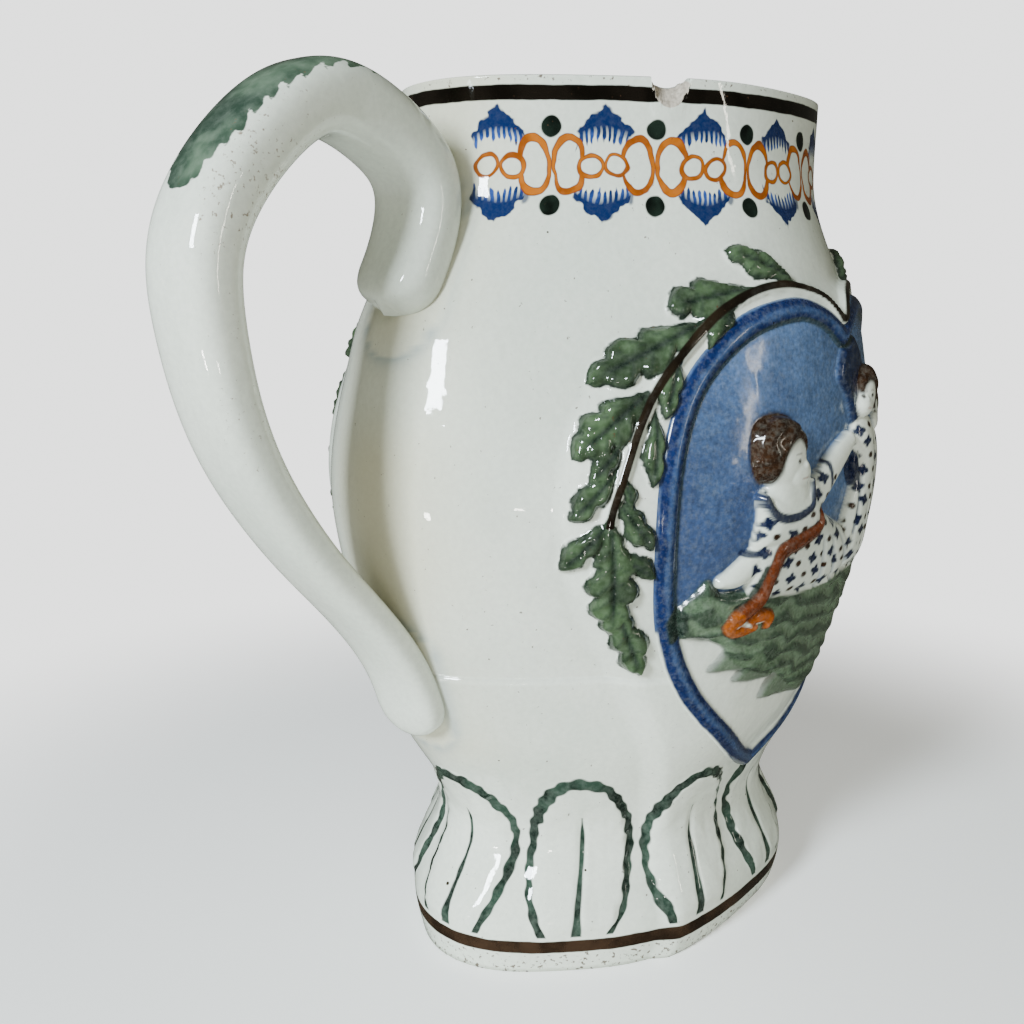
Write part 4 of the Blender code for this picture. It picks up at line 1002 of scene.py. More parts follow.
def patch_mesh(name, shown, edge, rings, pole, flipped):
    """A closed mesh from a square grid: its edge is joined to rings behind it and a pole."""
    cells = shown.shape[0]
    number = np.arange(cells * cells).reshape(cells, cells)
    quads = np.stack((number[:-1, :-1], number[:-1, 1:], number[1:, 1:], number[1:, :-1]), -1)
    quads = [quads.reshape(-1, 4)]
    vertices = [shown.reshape(-1, 3)]
    below, count = edge, cells * cells
    for ring in rings:
        here = count + np.arange(len(edge))
        quads.append(np.stack((below, here, np.roll(here, -1), np.roll(below, -1)), -1))
        vertices.append(ring)
        below, count = here, count + len(edge)
    vertices.append(np.reshape(pole, (1, 3)))
    fan = np.stack((below, np.full(len(edge), count), np.roll(below, -1)), -1)
    quads = np.vstack(quads)
    if flipped:
        quads, fan = quads[:, ::-1], fan[:, ::-1]
    return filled_mesh(name, np.vstack(vertices), quads, fan)


class JUG_OT_medallions(bpy.types.Operator):
    """Builds the medallion that faces the camera, with its seated children, and the plainer one
    of the other side"""
    bl_idname = "jug.medallions"
    bl_label = "Medallions"

    def execute(self, context):
        sizes = context.scene.jug_sizes
        build_medallion(context, "front_medallion", -1, sizes.front_cells, shown_children)
        build_medallion(context, "back_medallion", 1, sizes.back_cells, hidden_child)
        return {"FINISHED"}


# The handle's line, as on the solid: heights where each end lies on the wall, and between them
# its bow, as shares of the reach and heights.
STRAP_WIDTH_TOP, STRAP_WIDTH_END = 14.4 * MM, 13.4 * MM
STRAP_THICKNESS_START, STRAP_THICKNESS_TOP, STRAP_THICKNESS_END = 9 * MM, 10.5 * MM, 6.2 * MM
STRAP_SINK, STRAP_REACH, STRAP_ROUND_END = 2 * MM, 40.78 * MM, 7 * MM
STRAP_SQUARENESS, STRAP_EASE = 2.8, 4 * MM
STRAP_START = (115, 126)
STRAP_BOW = ((0.147, 137), (0.541, 145.4), (0.86, 139), (1.0, 126), (0.811, 112), (0.614, 97),
             (0.369, 82.5), (0.113, 67))
STRAP_END = (57, 45.5)


def handle_path():
    """The strap's middle line as places along X and Z, top end first."""
    start_gap = STRAP_THICKNESS_START / 2 - STRAP_SINK
    end_gap = STRAP_THICKNESS_END / 2 - STRAP_SINK
    bow = [(share * STRAP_REACH, up) for share, up in STRAP_BOW]
    drawn = np.array([(start_gap, up) for up in STRAP_START] + bow
                     + [(end_gap, up) for up in STRAP_END])
    height = drawn[:, 1] * MM
    wall = plan_radius(np.pi, height)
    return curve_through(np.stack((-wall - drawn[:, 0], height), 1), 12)


def strap_section(line, at, angle):
    """Points of the strap: at each place along its line, averaged over a short run there, a
    rounded square, whose two radii are powers of the cosine and sine, closed round at both
    ends."""
    run = np.concatenate(((0.0,), np.cumsum(np.hypot(*np.diff(line, axis=0).T))))
    total = run[-1]
    spread = at[:, None] + np.linspace(-1, 1, 5) * STRAP_EASE
    centre = np.stack([np.interp(spread, run, line[:, i]).mean(1) for i in range(2)], 1)
    ahead = np.stack([np.interp(at + STRAP_EASE, run, line[:, i])
                      - np.interp(at - STRAP_EASE, run, line[:, i]) for i in range(2)], 1)
    ahead /= np.linalg.norm(ahead, axis=1, keepdims=True)
    share, crest = at / total, 0.3
    width = STRAP_WIDTH_TOP + (STRAP_WIDTH_END - STRAP_WIDTH_TOP) * smooth_step(share)
    thick = np.where(share < crest,
                     STRAP_THICKNESS_START + (STRAP_THICKNESS_TOP - STRAP_THICKNESS_START)
                     * smooth_step(share / crest),
                     STRAP_THICKNESS_TOP + (STRAP_THICKNESS_END - STRAP_THICKNESS_TOP)
                     * smooth_step((share - crest) / (1 - crest) * 1.3))
    to_end = np.clip(np.minimum(at, total - at) / STRAP_ROUND_END, 0, 1)
    closing = np.sqrt(1 - (1 - to_end) ** 2)
    power = 2 / STRAP_SQUARENESS
    side = np.sign(np.cos(angle)) * np.abs(np.cos(angle)) ** power / 2
    back = np.sign(np.sin(angle)) * np.abs(np.sin(angle)) ** power / 2
    out = np.stack((-ahead[:, 1], ahead[:, 0]), 1)
    reach = (thick * (0.5 + 0.5 * closing))[:, None] * back
    x = centre[:, :1] + out[:, :1] * reach
    z = centre[:, 1:] + out[:, 1:] * reach
    y = (width * closing)[:, None] * side
    return np.stack((x, y, z), -1), side * width[:, None], back


# The leaf painted along the handle's outer side: from where along it, to where, how wide, and
# how far apart its teeth are.
STRAP_LEAF_FROM, STRAP_LEAF_TO, STRAP_LEAF_HALF = 30.0, 70.0, 8.4
STRAP_LEAF_TOOTH = 3.1


def strap_leaf(along, across, back):
    """Depth inside the long toothed leaf on the handle's outer side, which reaches a little
    over the strap's edges: a half width that swells and narrows like a half sine, cut by teeth
    that slant toward its tip."""
    share = np.clip((along - STRAP_LEAF_FROM) / (STRAP_LEAF_TO - STRAP_LEAF_FROM), 0, 1)
    aside = np.abs(across) + STRAP_THICKNESS_TOP / MM * (back + 0.5)
    phase = (along - 0.7 * aside) / STRAP_LEAF_TOOTH + np.where(across > 0, 0, 0.4)
    tooth = phase - np.floor(phase)
    cut = 0.8 + 0.2 * smooth_step(tooth / 0.75) * smooth_step((1 - tooth) / 0.25)
    depth = STRAP_LEAF_HALF * np.sin(np.pi * share ** 0.9) ** 0.4 * cut - aside
    ends = np.minimum(along - STRAP_LEAF_FROM, STRAP_LEAF_TO - along)
    return np.where(back < 0, np.minimum(depth, ends), -FAR)


def strap_wear(along, across):
    """How worn the strap's two edges are: ridges along them that come and go past its top."""
    edges = np.exp(-((np.abs(across) - 6.2) / 1.6) ** 2)
    hills = 0.5 + 0.5 * noise(along, np.sign(across) * 40, 7.0, 71)
    return edges * hills * smooth_step((along - 36) / 20) * smooth_step((110 - along) / 20)


class JUG_OT_handle(bpy.types.Operator):
    """Builds the pulled strap handle with its rounded ends and the leaf painted on its back"""
    bl_idname = "jug.handle"
    bl_label = "Handle"

    def execute(self, context):
        sizes = context.scene.jug_sizes
        line = handle_path()
        total = np.hypot(*np.diff(line, axis=0).T).sum()
        rounding = STRAP_ROUND_END * (1 - np.cos(np.linspace(0, np.pi / 2, 16)[1:]))
        between = np.linspace(STRAP_ROUND_END, total - STRAP_ROUND_END, sizes.strap_stations)[1:-1]
        at = np.concatenate((rounding, between, total - rounding[::-1]))
        angle = (np.arange(sizes.strap_sides) + 0.5) * 2 * np.pi / sizes.strap_sides
        points, across, back = strap_section(line, at, angle)
        along = np.repeat(at[:, None] / MM, len(angle), 1)
        low = (line[0, 0], 0, line[0, 1])
        high = (line[-1, 0], 0, line[-1, 1])
        mesh = grid_mesh("jug_handle", points, low, high)
        depth = strap_leaf(along, across / MM, np.repeat(back[None, :], len(at), 0))
        add_mark(mesh, "leaf", depth)
        add_mark(mesh, "wear", strap_wear(along, across / MM))
        place_piece(context, mesh, painted_handle())
        return {"FINISHED"}


# The setting that a kind of node may name after its own name.
MAIN_SETTING = {"Math": "operation", "VectorMath": "operation", "Mix": "data_type",
                "MapRange": "interpolation_type"}


def add(tree, kind, *values, out=0, **settings):
    """Adds a node with its settings and gives back one of its live outputs. The values, which may
    be other nodes' outputs, go to its live inputs in order; None leaves one as it is."""
    kind, _, setting = kind.partition(" ")
    node = tree.nodes.new("ShaderNode" + kind)
    if setting:
        settings[MAIN_SETTING[kind]] = setting
    for name, value in settings.items():
        setattr(node, name, value)
    for socket, value in zip([socket for socket in node.inputs if socket.enabled], values):
        if isinstance(value, bpy.types.NodeSocket):
            tree.links.new(value, socket)
        elif value is not None:
            socket.default_value = value
    live = [socket for socket in node.outputs if socket.enabled]
    return live[out] if isinstance(out, int) else node.outputs[out]


def new_material(name):
    """An empty node material, its tree and its Principled shader."""
    material = bpy.data.materials.new(name)
    material.use_nodes = True
    return material, material.node_tree, material.node_tree.nodes["Principled BSDF"]


def mottled(tree, place, colour, scale, least, most):
    """A colour made darker and lighter in soft grains, so many to the metre."""
    grain = add(tree, "TexNoise", place, scale, 3, 0.6)
    tone = add(tree, "MapRange", grain, 0.3, 0.7, least, most)
    return add(tree, "Mix RGBA", 1.0, colour, tone, blend_type="MULTIPLY")


def brushed(tree, place, under, cover, thin, deep, grain, least):
    """Lays an underglaze colour as a brush leaves it: deep where it pooled, thin elsewhere, and
    thinned in fine grains to a least share of its cover. With 700 grains to the metre they are
    about 1.4 mm wide, and the pools four times that."""
    pools = add(tree, "TexNoise", place, grain / 4, 3)
    pools = add(tree, "MapRange SMOOTHSTEP", pools, 0.36, 0.64)
    tone = add(tree, "Mix RGBA", pools, thin, deep)
    grains = add(tree, "TexNoise", place, grain, 4, 0.7)
    share = add(tree, "MapRange", grains, 0.3, 0.6, least, 1.0)
    share = add(tree, "Math MULTIPLY", cover, share)
    return add(tree, "Mix RGBA", share, under, tone)


def specks(tree, place, colour, scale, chosen_from, size, tone):
    """Scatters round specks: one in the chosen share of the cells of a random honeycomb."""
    cells = add(tree, "TexVoronoi", place, scale).node
    chosen = add(tree, "SeparateColor", cells.outputs["Color"])
    reach = add(tree, "MapRange", chosen, chosen_from, 1.0, 0.0, size)
    inside = add(tree, "Math LESS_THAN", cells.outputs["Distance"], reach)
    return add(tree, "Mix RGBA", inside, colour, tone)


def glaze_ground(tree):
    """The bare glaze's colour: off-white, greyer and greener in drifts about 40 mm broad, with a
    faint grey mottle of 1 mm grains, small pinholes and a few black iron specks."""
    place = add(tree, "TexCoord", out="Object")
    drift = add(tree, "TexNoise", place, 26, 3)
    drift = add(tree, "MapRange SMOOTHSTEP", drift, 0.35, 0.7)
    colours = bpy.context.scene.jug_colours
    base = add(tree, "Mix RGBA", drift, (*colours.glaze, 1), (*colours.glaze_shade, 1))
    base = mottled(tree, place, base, 1100, 0.94, 1.05)
    # Pinholes in a quarter of the 2 mm cells and iron specks in a fifth of the 5 mm cells, at
    # most 0.2 and 0.7 mm wide.
    base = specks(tree, place, base, 520, 0.72, 0.05, linear("#8F8B78"))
    return place, specks(tree, place, base, 210, 0.80, 0.075, linear("#2B241A"))


def finish_glaze(tree, shader, place, colour):
    """Gives the shader the look of thick glossy glaze over clay: a sharp clear gloss that
    ripples a little, in waves about 7 mm long and an orange peel of about 1 mm."""
    tree.links.new(colour, shader.inputs["Base Color"])
    waves = add(tree, "TexNoise", place, 150, 2)
    peel = add(tree, "TexNoise", place, 900, 2)
    first = add(tree, "Bump", 0.35, 0.0004, None, waves)
    second = add(tree, "Bump", 0.25, 0.00005, None, peel, first)
    tree.links.new(second, shader.inputs["Normal"])
    shader.inputs["Roughness"].default_value = 0.04
    shader.inputs["IOR"].default_value = 1.52


def oval_depth(tree, flat, half):
    """Distance in from an oval about the middle of a flat place: one less its scaled radius, by
    that radius over its slope."""
    scaled = add(tree, "VectorMath DIVIDE", flat, half)
    radius = add(tree, "VectorMath LENGTH", scaled)
    slope = add(tree, "VectorMath DIVIDE", scaled, half)
    slope = add(tree, "VectorMath LENGTH", slope)
    short = add(tree, "Math SUBTRACT", 1.0, radius)
    per = add(tree, "Math DIVIDE", radius, slope)
    return add(tree, "Math MULTIPLY", short, per)


def stroke_depth(tree, distance, half):
    """Distance in from the sides of a stroke that follows where a distance is zero."""
    away = add(tree, "Math ABSOLUTE", distance)
    return add(tree, "Math SUBTRACT", half, away)


def repeated(tree, number, pitch):
    """The nearest copy's offset in millimetres, for a running number of copies."""
    moved = add(tree, "Math ADD", number, 0.5)
    part = add(tree, "Math FRACT", moved)
    part = add(tree, "Math SUBTRACT", part, 0.5)
    return add(tree, "Math MULTIPLY", part, pitch)


def border_place(tree, place):
    """The border map's place and a hand's unsteadiness on it: motif, height over the ground, and
    offset from the nearest motif's middle and from the chain's middle line."""
    flat = add(tree, "SeparateXYZ", add(tree, "UVMap", uv_map="border")).node
    sway = add(tree, "TexNoise", place, 240, 2, out="Color")
    sway = add(tree, "VectorMath SUBTRACT", sway, (0.5, 0.5, 0.5))
    sway = add(tree, "SeparateXYZ", sway).node
    height = add(tree, "Math MULTIPLY_ADD", sway.outputs[1], 1.3, flat.outputs[1])
    above = add(tree, "Math SUBTRACT", height, BORDER_HEIGHT)
    across = add(tree, "Math MULTIPLY_ADD", sway.outputs[0], 1.6,
                 repeated(tree, flat.outputs[0], BORDER_PITCH))
    return flat.outputs[0], height, across, above


def fans_paint(tree, place, colour, started, across, above):
    """Cobalt fans over and under the chain: a pointed roof over upright sides, brushed in upright
    strokes whose lower ends stand apart over an arch, and a small dab beside each lower one."""
    spot = add(tree, "VectorMath ABSOLUTE", add(tree, "CombineXYZ", across, above))
    folds = add(tree, "SeparateXYZ", spot).node
    aside, up = folds.outputs[0], folds.outputs[1]
    ragged = add(tree, "TexNoise", place, 620, 1)
    ragged = add(tree, "MapRange", ragged, 0.3, 0.7, -0.45, 0.45)
    roof = add(tree, "Math MULTIPLY_ADD", aside, 0.9, up)
    roof = add(tree, "Math SUBTRACT", FAN_TIP, roof)
    side = add(tree, "Math SUBTRACT", FAN_HALF, aside)
    side = add(tree, "Math MINIMUM", roof, side)
    side = add(tree, "Math ADD", side, ragged)
    phase = add(tree, "Math MULTIPLY", across, 2 * np.pi / FAN_STROKE)
    stroke = add(tree, "Math COSINE", phase)
    arch = add(tree, "Math MULTIPLY", aside, aside)
    foot = add(tree, "Math MULTIPLY_ADD", arch, FAN_ARCH / FAN_HALF ** 2, up)
    foot = add(tree, "Math SUBTRACT", foot, FAN_FOOT)
    uneven = add(tree, "Math MULTIPLY_ADD", ragged, 0.9, foot)
    uneven = add(tree, "Math MULTIPLY_ADD", stroke, 0.35, uneven)
    fan = add(tree, "Math MINIMUM", side, uneven)
    fan = add(tree, "MapRange SMOOTHSTEP", fan, -0.2, 0.2)
    near_foot = add(tree, "MapRange", foot, 0.2, 1.7, 1.0, 0.0)
    gap = add(tree, "MapRange SMOOTHSTEP", stroke, 0.1, -0.7)
    gap = add(tree, "Math MULTIPLY", gap, near_foot)
    gap = add(tree, "Math MULTIPLY_ADD", gap, -0.85, 1.0)
    fan = add(tree, "Math MULTIPLY", fan, gap)
    dab = add(tree, "VectorMath SUBTRACT", add(tree, "CombineXYZ", across, above), (4.3, -4.5, 0))
    dab = oval_depth(tree, dab, (0.6, 1.1, 1.0))
    dab = add(tree, "MapRange", dab, -0.2, 0.2, 0.0, 0.8)
    fan = add(tree, "Math MAXIMUM", fan, dab)
    fan = add(tree, "Math MULTIPLY", fan, started)
    deep = (*bpy.context.scene.jug_colours.blue, 1)
    tone = add(tree, "Mix RGBA", near_foot, deep, linear("#324E92"))
    return brushed(tree, place, colour, fan, tone, deep, 1400, 0.975)


def chain_paint(tree, place, colour, motif, across, above):
    """The chain in orange ochre with darker edges: a pair of small rings on each motif, and an
    oval on each side of them whose line stops inside the rings."""
    first = add(tree, "MapRange", motif, FIRST_FAN - 0.02, FIRST_FAN)
    begun = add(tree, "MapRange", motif, FIRST_LINK - 0.02, FIRST_LINK)
    spot = add(tree, "VectorMath ABSOLUTE", add(tree, "CombineXYZ", across, above))
    thick = add(tree, "TexNoise", place, 190, 1)
    small = oval_depth(tree, add(tree, "VectorMath SUBTRACT", spot, (SMALL_RING_OFF, 0, 0)),
                       SMALL_RING)
    half = add(tree, "MapRange", thick, 0.3, 0.7, 0.28, 0.42)
    ring = stroke_depth(tree, small, half)
    big = oval_depth(tree, add(tree, "VectorMath SUBTRACT", spot, (BIG_RING_OFF, 0, 0)), BIG_RING)
    half = add(tree, "MapRange", thick, 0.3, 0.7, -0.08, 0.12)
    lift = add(tree, "SeparateXYZ", spot, out=1)
    lift = add(tree, "MapRange", lift, 1.5, 3.9, 0.34, 0.6)
    half = add(tree, "Math ADD", half, lift)
    link = stroke_depth(tree, big, half)
    outside = add(tree, "Math MULTIPLY", small, -1.0)
    link = add(tree, "Math MINIMUM", link, outside)
    link = add(tree, "Math ADD", link, add(tree, "Math SUBTRACT", begun, 1.0))
    line = add(tree, "Math MAXIMUM", ring, link)
    cover = add(tree, "MapRange SMOOTHSTEP", line, -0.08, 0.1)
    cover = add(tree, "Math MULTIPLY", cover, first)
    inner = add(tree, "MapRange SMOOTHSTEP", line, 0.04, 0.24)
    ochre = (*bpy.context.scene.jug_colours.orange, 1)
    tone = add(tree, "Mix RGBA", inner, linear("#632D0A"), ochre)
    return brushed(tree, place, colour, cover, tone, linear("#7E3E0B"), 700, 0.98)


def border_paint(tree, place, colour):
    """The neck's border of cobalt fans, green dots and an ochre chain, the brown band of the rim
    over it, and the brown band of the foot."""
    motif, height, across, above = border_place(tree, place)
    started = add(tree, "MapRange", motif, FIRST_FAN - 0.02, FIRST_FAN)
    colour = fans_paint(tree, place, colour, started, across, above)

    # The green dots stand half a motif on.
    beside = repeated(tree, add(tree, "Math ADD", motif, 0.5), BORDER_PITCH)
    lifted = add(tree, "Math ABSOLUTE", add(tree, "Math ADD", above, 0.2))
    dot = add(tree, "VectorMath DISTANCE", add(tree, "CombineXYZ", beside, lifted),
              (0, DOT_OFF, 0))
    dot = add(tree, "MapRange SMOOTHSTEP", dot, DOT_HALF + 0.15, DOT_HALF - 0.15)
    dot = add(tree, "Math MULTIPLY", dot, started)
    colour = brushed(tree, place, colour, dot, linear("#19241D"), linear("#080D0A"), 900, 1.0)
    colour = chain_paint(tree, place, colour, motif, across, above)

    # The brown bands under the rim and over the foot's edge, and the iron pits past them.
    flat = add(tree, "SeparateXYZ", add(tree, "UVMap", uv_map="border"), out=1)
    steady = add(tree, "Mix", 0.7, height, flat)
    for middle, half, thin, deep in BANDS:
        band = add(tree, "Math SUBTRACT", steady, middle)
        band = stroke_depth(tree, band, half)
        band = add(tree, "MapRange SMOOTHSTEP", band, -0.12, 0.12)
        colour = brushed(tree, place, colour, band, linear(thin), linear(deep), 700, 1.0)
    low = add(tree, "MapRange", flat, 4.4, 3.6, 0.0, 0.13)
    high = add(tree, "MapRange", flat, 148.6, 149.4, 0.0, 0.08)
    edge = add(tree, "Math ADD", low, high)
    pits = add(tree, "TexNoise", place, 1300, 2)
    pits = add(tree, "Math ADD", pits, edge)
    pits = add(tree, "MapRange", pits, 0.72, 0.78, 0.0, 0.85)
    return add(tree, "Mix RGBA", pits, colour, linear("#4A3424"))


def foot_paint(tree, place, colour):
    """The foot's painted leaves: a wavy dark green outline round each and a tapering vein."""
    flat = add(tree, "SeparateXYZ", add(tree, "UVMap", uv_map="foot")).node
    height = flat.outputs[1]
    waves = add(tree, "TexNoise", place, 130, 1)
    ripple = add(tree, "MapRange", waves, 0.3, 0.7, -0.5, 0.5)
    across = repeated(tree, flat.outputs[0], FOOT_LEAF_PITCH)
    across = add(tree, "Math ABSOLUTE", across)
    below = add(tree, "MapRange", height, LEAF_WIDEST, 0.0, 0.0, 1.0)
    below = add(tree, "Math MULTIPLY", below, below)
    narrow = add(tree, "Math MULTIPLY_ADD", below, -LEAF_NARROWING, 1.0)
    narrow = add(tree, "Math MAXIMUM", narrow, 0.3)
    across_even = add(tree, "Math DIVIDE", across, narrow)
    above = add(tree, "Math SUBTRACT", height, LEAF_WIDEST)
    above = add(tree, "Math MAXIMUM", above, 0.0)
    depth = oval_depth(tree, add(tree, "CombineXYZ", across_even, above),
                       (FOOT_LEAF_HALF, LEAF_TOP - LEAF_WIDEST, 1.0))
    # Scallops every 3.3 mm up the sides, carried on round the top.
    phase = add(tree, "Math MULTIPLY_ADD", across_even, -1.4,
                add(tree, "Math MULTIPLY", height, 1.9))
    scallop = add(tree, "Math SINE", phase)
    depth = add(tree, "Math MULTIPLY_ADD", scallop, 0.14, depth)
    depth = add(tree, "Math ADD", depth, ripple)
    depth = add(tree, "Math SUBTRACT", depth, 0.5)
    half = add(tree, "MapRange", waves, 0.35, 0.65, 0.95, 0.68)
    line = stroke_depth(tree, depth, half)
    sway = add(tree, "Math MULTIPLY_ADD", ripple, 0.5, across)
    taper = add(tree, "MapRange", height, 8.0, 28.0, 0.8, 0.15)
    vein = stroke_depth(tree, sway, taper)
    ended = add(tree, "Math SUBTRACT", 28.0, height)
    vein = add(tree, "Math MINIMUM", vein, ended)
    line = add(tree, "Math MAXIMUM", line, vein)
    started = add(tree, "Math SUBTRACT", height, LEAF_FOOT)
    line = add(tree, "Math MINIMUM", line, started)
    ended = add(tree, "Math SUBTRACT", LEAF_TOP + 2, height)
    line = add(tree, "Math MINIMUM", line, ended)
    line = add(tree, "MapRange SMOOTHSTEP", line, -0.18, 0.15)
    return brushed(tree, place, colour, line, linear("#2C3F34"), linear("#16211B"), 800, 0.94)


def painted_wall():
    """Pearlware, moulded, painted under the glaze and glazed: an off-white body whose colours
    sit beneath one continuous gloss, with bluish pools of glaze, painted warm shade beside the
    handle and a bare broken chip."""
    material, tree, shader = new_material("underglaze_painted_pearlware")
    place, colour = glaze_ground(tree)
    # Bluish pools of glaze round the handle's ends, and painted warm shade on the wall beside it.
    for name, share, tint in (("handle_shade", 0.55, "#C2B48A"), ("pool", 0.6, "#7F8F96")):
        mark = add(tree, "Attribute", out="Fac", attribute_name=name)
        mark = add(tree, "Math MULTIPLY", mark, share)
        colour = add(tree, "Mix RGBA", mark, colour, linear(tint))

    # A garland leaf is dark at its edges and in its veins, which are also painted shade in each
    # midrib's groove, and its hand-painted edge wavers.
    leaf = add(tree, "Attribute", out="Fac", attribute_name="leaf")
    edge = add(tree, "TexNoise", place, 650, 2)
    edge = add(tree, "MapRange", edge, 0.3, 0.7, -0.25, 0.25)
    leaf = add(tree, "Math ADD", leaf, edge)
    cover = add(tree, "MapRange SMOOTHSTEP", leaf, -0.25, 0.15)
    rim = add(tree, "MapRange", leaf, 0.8, 0.15, 0.0, 0.9)
    vein = add(tree, "Attribute", out="Fac", attribute_name="vein")
    dark = add(tree, "Math MAXIMUM", rim, vein)
    green = (*bpy.context.scene.jug_colours.green, 1)
    tone = add(tree, "Mix RGBA", dark, green, linear("#18241C"))
    shade = add(tree, "Mix RGBA", dark, linear("#2C3927"), linear("#131D18"))
    colour = brushed(tree, place, colour, cover, tone, shade, 800, 0.96)
    stem = add(tree, "Attribute", out="Fac", attribute_name="stem")
    stem = add(tree, "MapRange SMOOTHSTEP", stem, -0.15, 0.15)
    colour = brushed(tree, place, colour, stem, linear("#221A11"), linear("#120D08"), 600, 0.98)
    colour = border_paint(tree, place, colour)
    colour = foot_paint(tree, place, colour)

    chip = add(tree, "Attribute", out="Fac", attribute_name="chip")
    chip = add(tree, "MapRange SMOOTHSTEP", chip, 0.25, 0.6)
    biscuit = mottled(tree, place, linear("#B3A999"), 1600, 0.6, 1.15)
    colour = add(tree, "Mix RGBA", chip, colour, biscuit)
    finish_glaze(tree, shader, place, colour)
    rough = add(tree, "MapRange", chip, 0.0, 1.0, 0.04, 0.85)
    tree.links.new(rough, shader.inputs["Roughness"])
    return material


def painted_medallion():
    """The same glazed ware inside a medallion, with its painting held on the piece's points."""
    material, tree, shader = new_material("underglaze_painted_medallion")
    place, colour = glaze_ground(tree)
    paint = add(tree, "Attribute", attribute_name="paint").node
    tone = mottled(tree, place, paint.outputs["Color"], 1500, 0.65, 1.25)
    tone = mottled(tree, place, tone, 130, 0.75, 1.15)
    grain = add(tree, "TexNoise", place, 1100, 4, 0.7)
    share = add(tree, "MapRange", grain, 0.3, 0.55, 0.93, 1.0)
    share = add(tree, "Math MULTIPLY", paint.outputs["Alpha"], share)
    colour = add(tree, "Mix RGBA", share, colour, tone)
    colour = specks(tree, place, colour, 260, 0.82, 0.07, linear("#1A1A20"))
    finish_glaze(tree, shader, place, colour)
    shader.inputs["Roughness"].default_value = 0.16
    return material


def painted_handle():
    """The same glazed ware on the handle, whose back carries a leaf in green and whose ridge is
    worn brown in specks."""
    material, tree, shader = new_material("underglaze_painted_handle")
    place, colour = glaze_ground(tree)
    leaf = add(tree, "Attribute", out="Fac", attribute_name="leaf")
    edge = add(tree, "TexNoise", place, 500, 2)
    edge = add(tree, "MapRange", edge, 0.3, 0.7, -0.6, 0.6)
    leaf = add(tree, "Math ADD", leaf, edge)
    leaf = add(tree, "MapRange SMOOTHSTEP", leaf, -0.25, 0.25)
    colour = brushed(tree, place, colour, leaf, linear("#566A56"), linear("#2A3B30"), 500, 0.94)
    wear = add(tree, "Attribute", out="Fac", attribute_name="wear")
    grit = add(tree, "TexNoise", place, 1500, 2, 0.6)
    wear = add(tree, "Math MULTIPLY_ADD", wear, 0.2, grit)
    wear = add(tree, "MapRange", wear, 0.73, 0.82, 0.0, 0.75)
    colour = add(tree, "Mix RGBA", wear, colour, linear("#6B4E34"))
    finish_glaze(tree, shader, place, colour)
    return material


def pale_paper():
    """Pale seamless paper: white and matt, with a faint painted glow even beside the jug, and
    further off it glows as bright as the surroundings, so that its edge doesn't show."""
    material, tree, shader = new_material("pale_paper_floor")
    place = add(tree, "TexCoord", out="Object")
    away = add(tree, "VectorMath LENGTH", place)
    far = add(tree, "MapRange SMOOTHSTEP", away, 0.1, FLOOR_REACH - 0.01)
    paper = add(tree, "Mix RGBA", far, linear("#F1F2EF"), (0.0, 0.0, 0.0, 1.0))
    tree.links.new(paper, shader.inputs["Base Color"])
    shader.inputs["Roughness"].default_value = 0.9
    shader.inputs["Specular IOR Level"].default_value = 0.0
    shader.inputs["Emission Color"].default_value = (*BACKDROP_LIGHT, 1)
    # Painted light: the paper glows a little even beside the jug, and fully further off.
    glow = add(tree, "MapRange", far, 0.0, 1.0, 0.16, 1.0)
    tree.links.new(glow, shader.inputs["Emission Strength"])
    return material


class JugSizes(bpy.types.PropertyGroup):
    """How fine each piece's surface is."""
    columns: IntProperty(name="Body columns", description="Points round the body", default=390,
                         min=60)
    front_cells: IntProperty(name="Front medallion points", default=290, min=40,
                             description="Points along each side of the front medallion's grid")
    back_cells: IntProperty(name="Back medallion points", default=200, min=40,
                            description="Points along each side of the back medallion's grid")
    strap_stations: IntProperty(name="Handle stations", default=330, min=40,
                                description="Rings of points along the handle")
    strap_sides: IntProperty(name="Handle sides", default=88, min=16,
                             description="Points round the handle")


class JugColours(bpy.types.PropertyGroup):
    """The glaze's and the painter's colours."""
    glaze: FloatVectorProperty(name="Glaze", description="Bare glaze over the clay", size=3,
                               subtype="COLOR", default=linear("#D9DED0")[:3], min=0, max=1)
    glaze_shade: FloatVectorProperty(name="Glaze shade", size=3, subtype="COLOR", min=0, max=1,
                                     description="The glaze where it lies thicker",
                                     default=linear("#CBD2C4")[:3])
    blue: FloatVectorProperty(name="Blue", description="Cobalt of the neck's fans", size=3,
                              subtype="COLOR", default=linear("#0D214A")[:3], min=0, max=1)
    green: FloatVectorProperty(name="Green", description="Green of the leaves", size=3,
                               subtype="COLOR", default=linear("#42553A")[:3], min=0, max=1)
    orange: FloatVectorProperty(name="Orange", description="Orange ochre of the neck's chain",
                                size=3, subtype="COLOR", min=0, max=1,
                                default=linear("#A85C12")[:3])


# The camera, as it stood for the photograph: which way round the jug, how far and how high,
# and how it is turned there.
VIEW_TURN, VIEW_DISTANCE, VIEW_HEIGHT = -0.9336, 215.82 * MM, 122.12 * MM
VIEW_YAW, VIEW_PITCH, VIEW_ROLL = 0.0837, 0.2139, 0.0026
VIEW_LENS = 39.55

# What the surroundings give: to the jug, and to the camera past the floor.
ROOM_LIGHT, BACKDROP_LIGHT = (0.06, 0.06, 0.048), (2.3, 2.32, 2.3)
FLOOR_REACH = 0.24

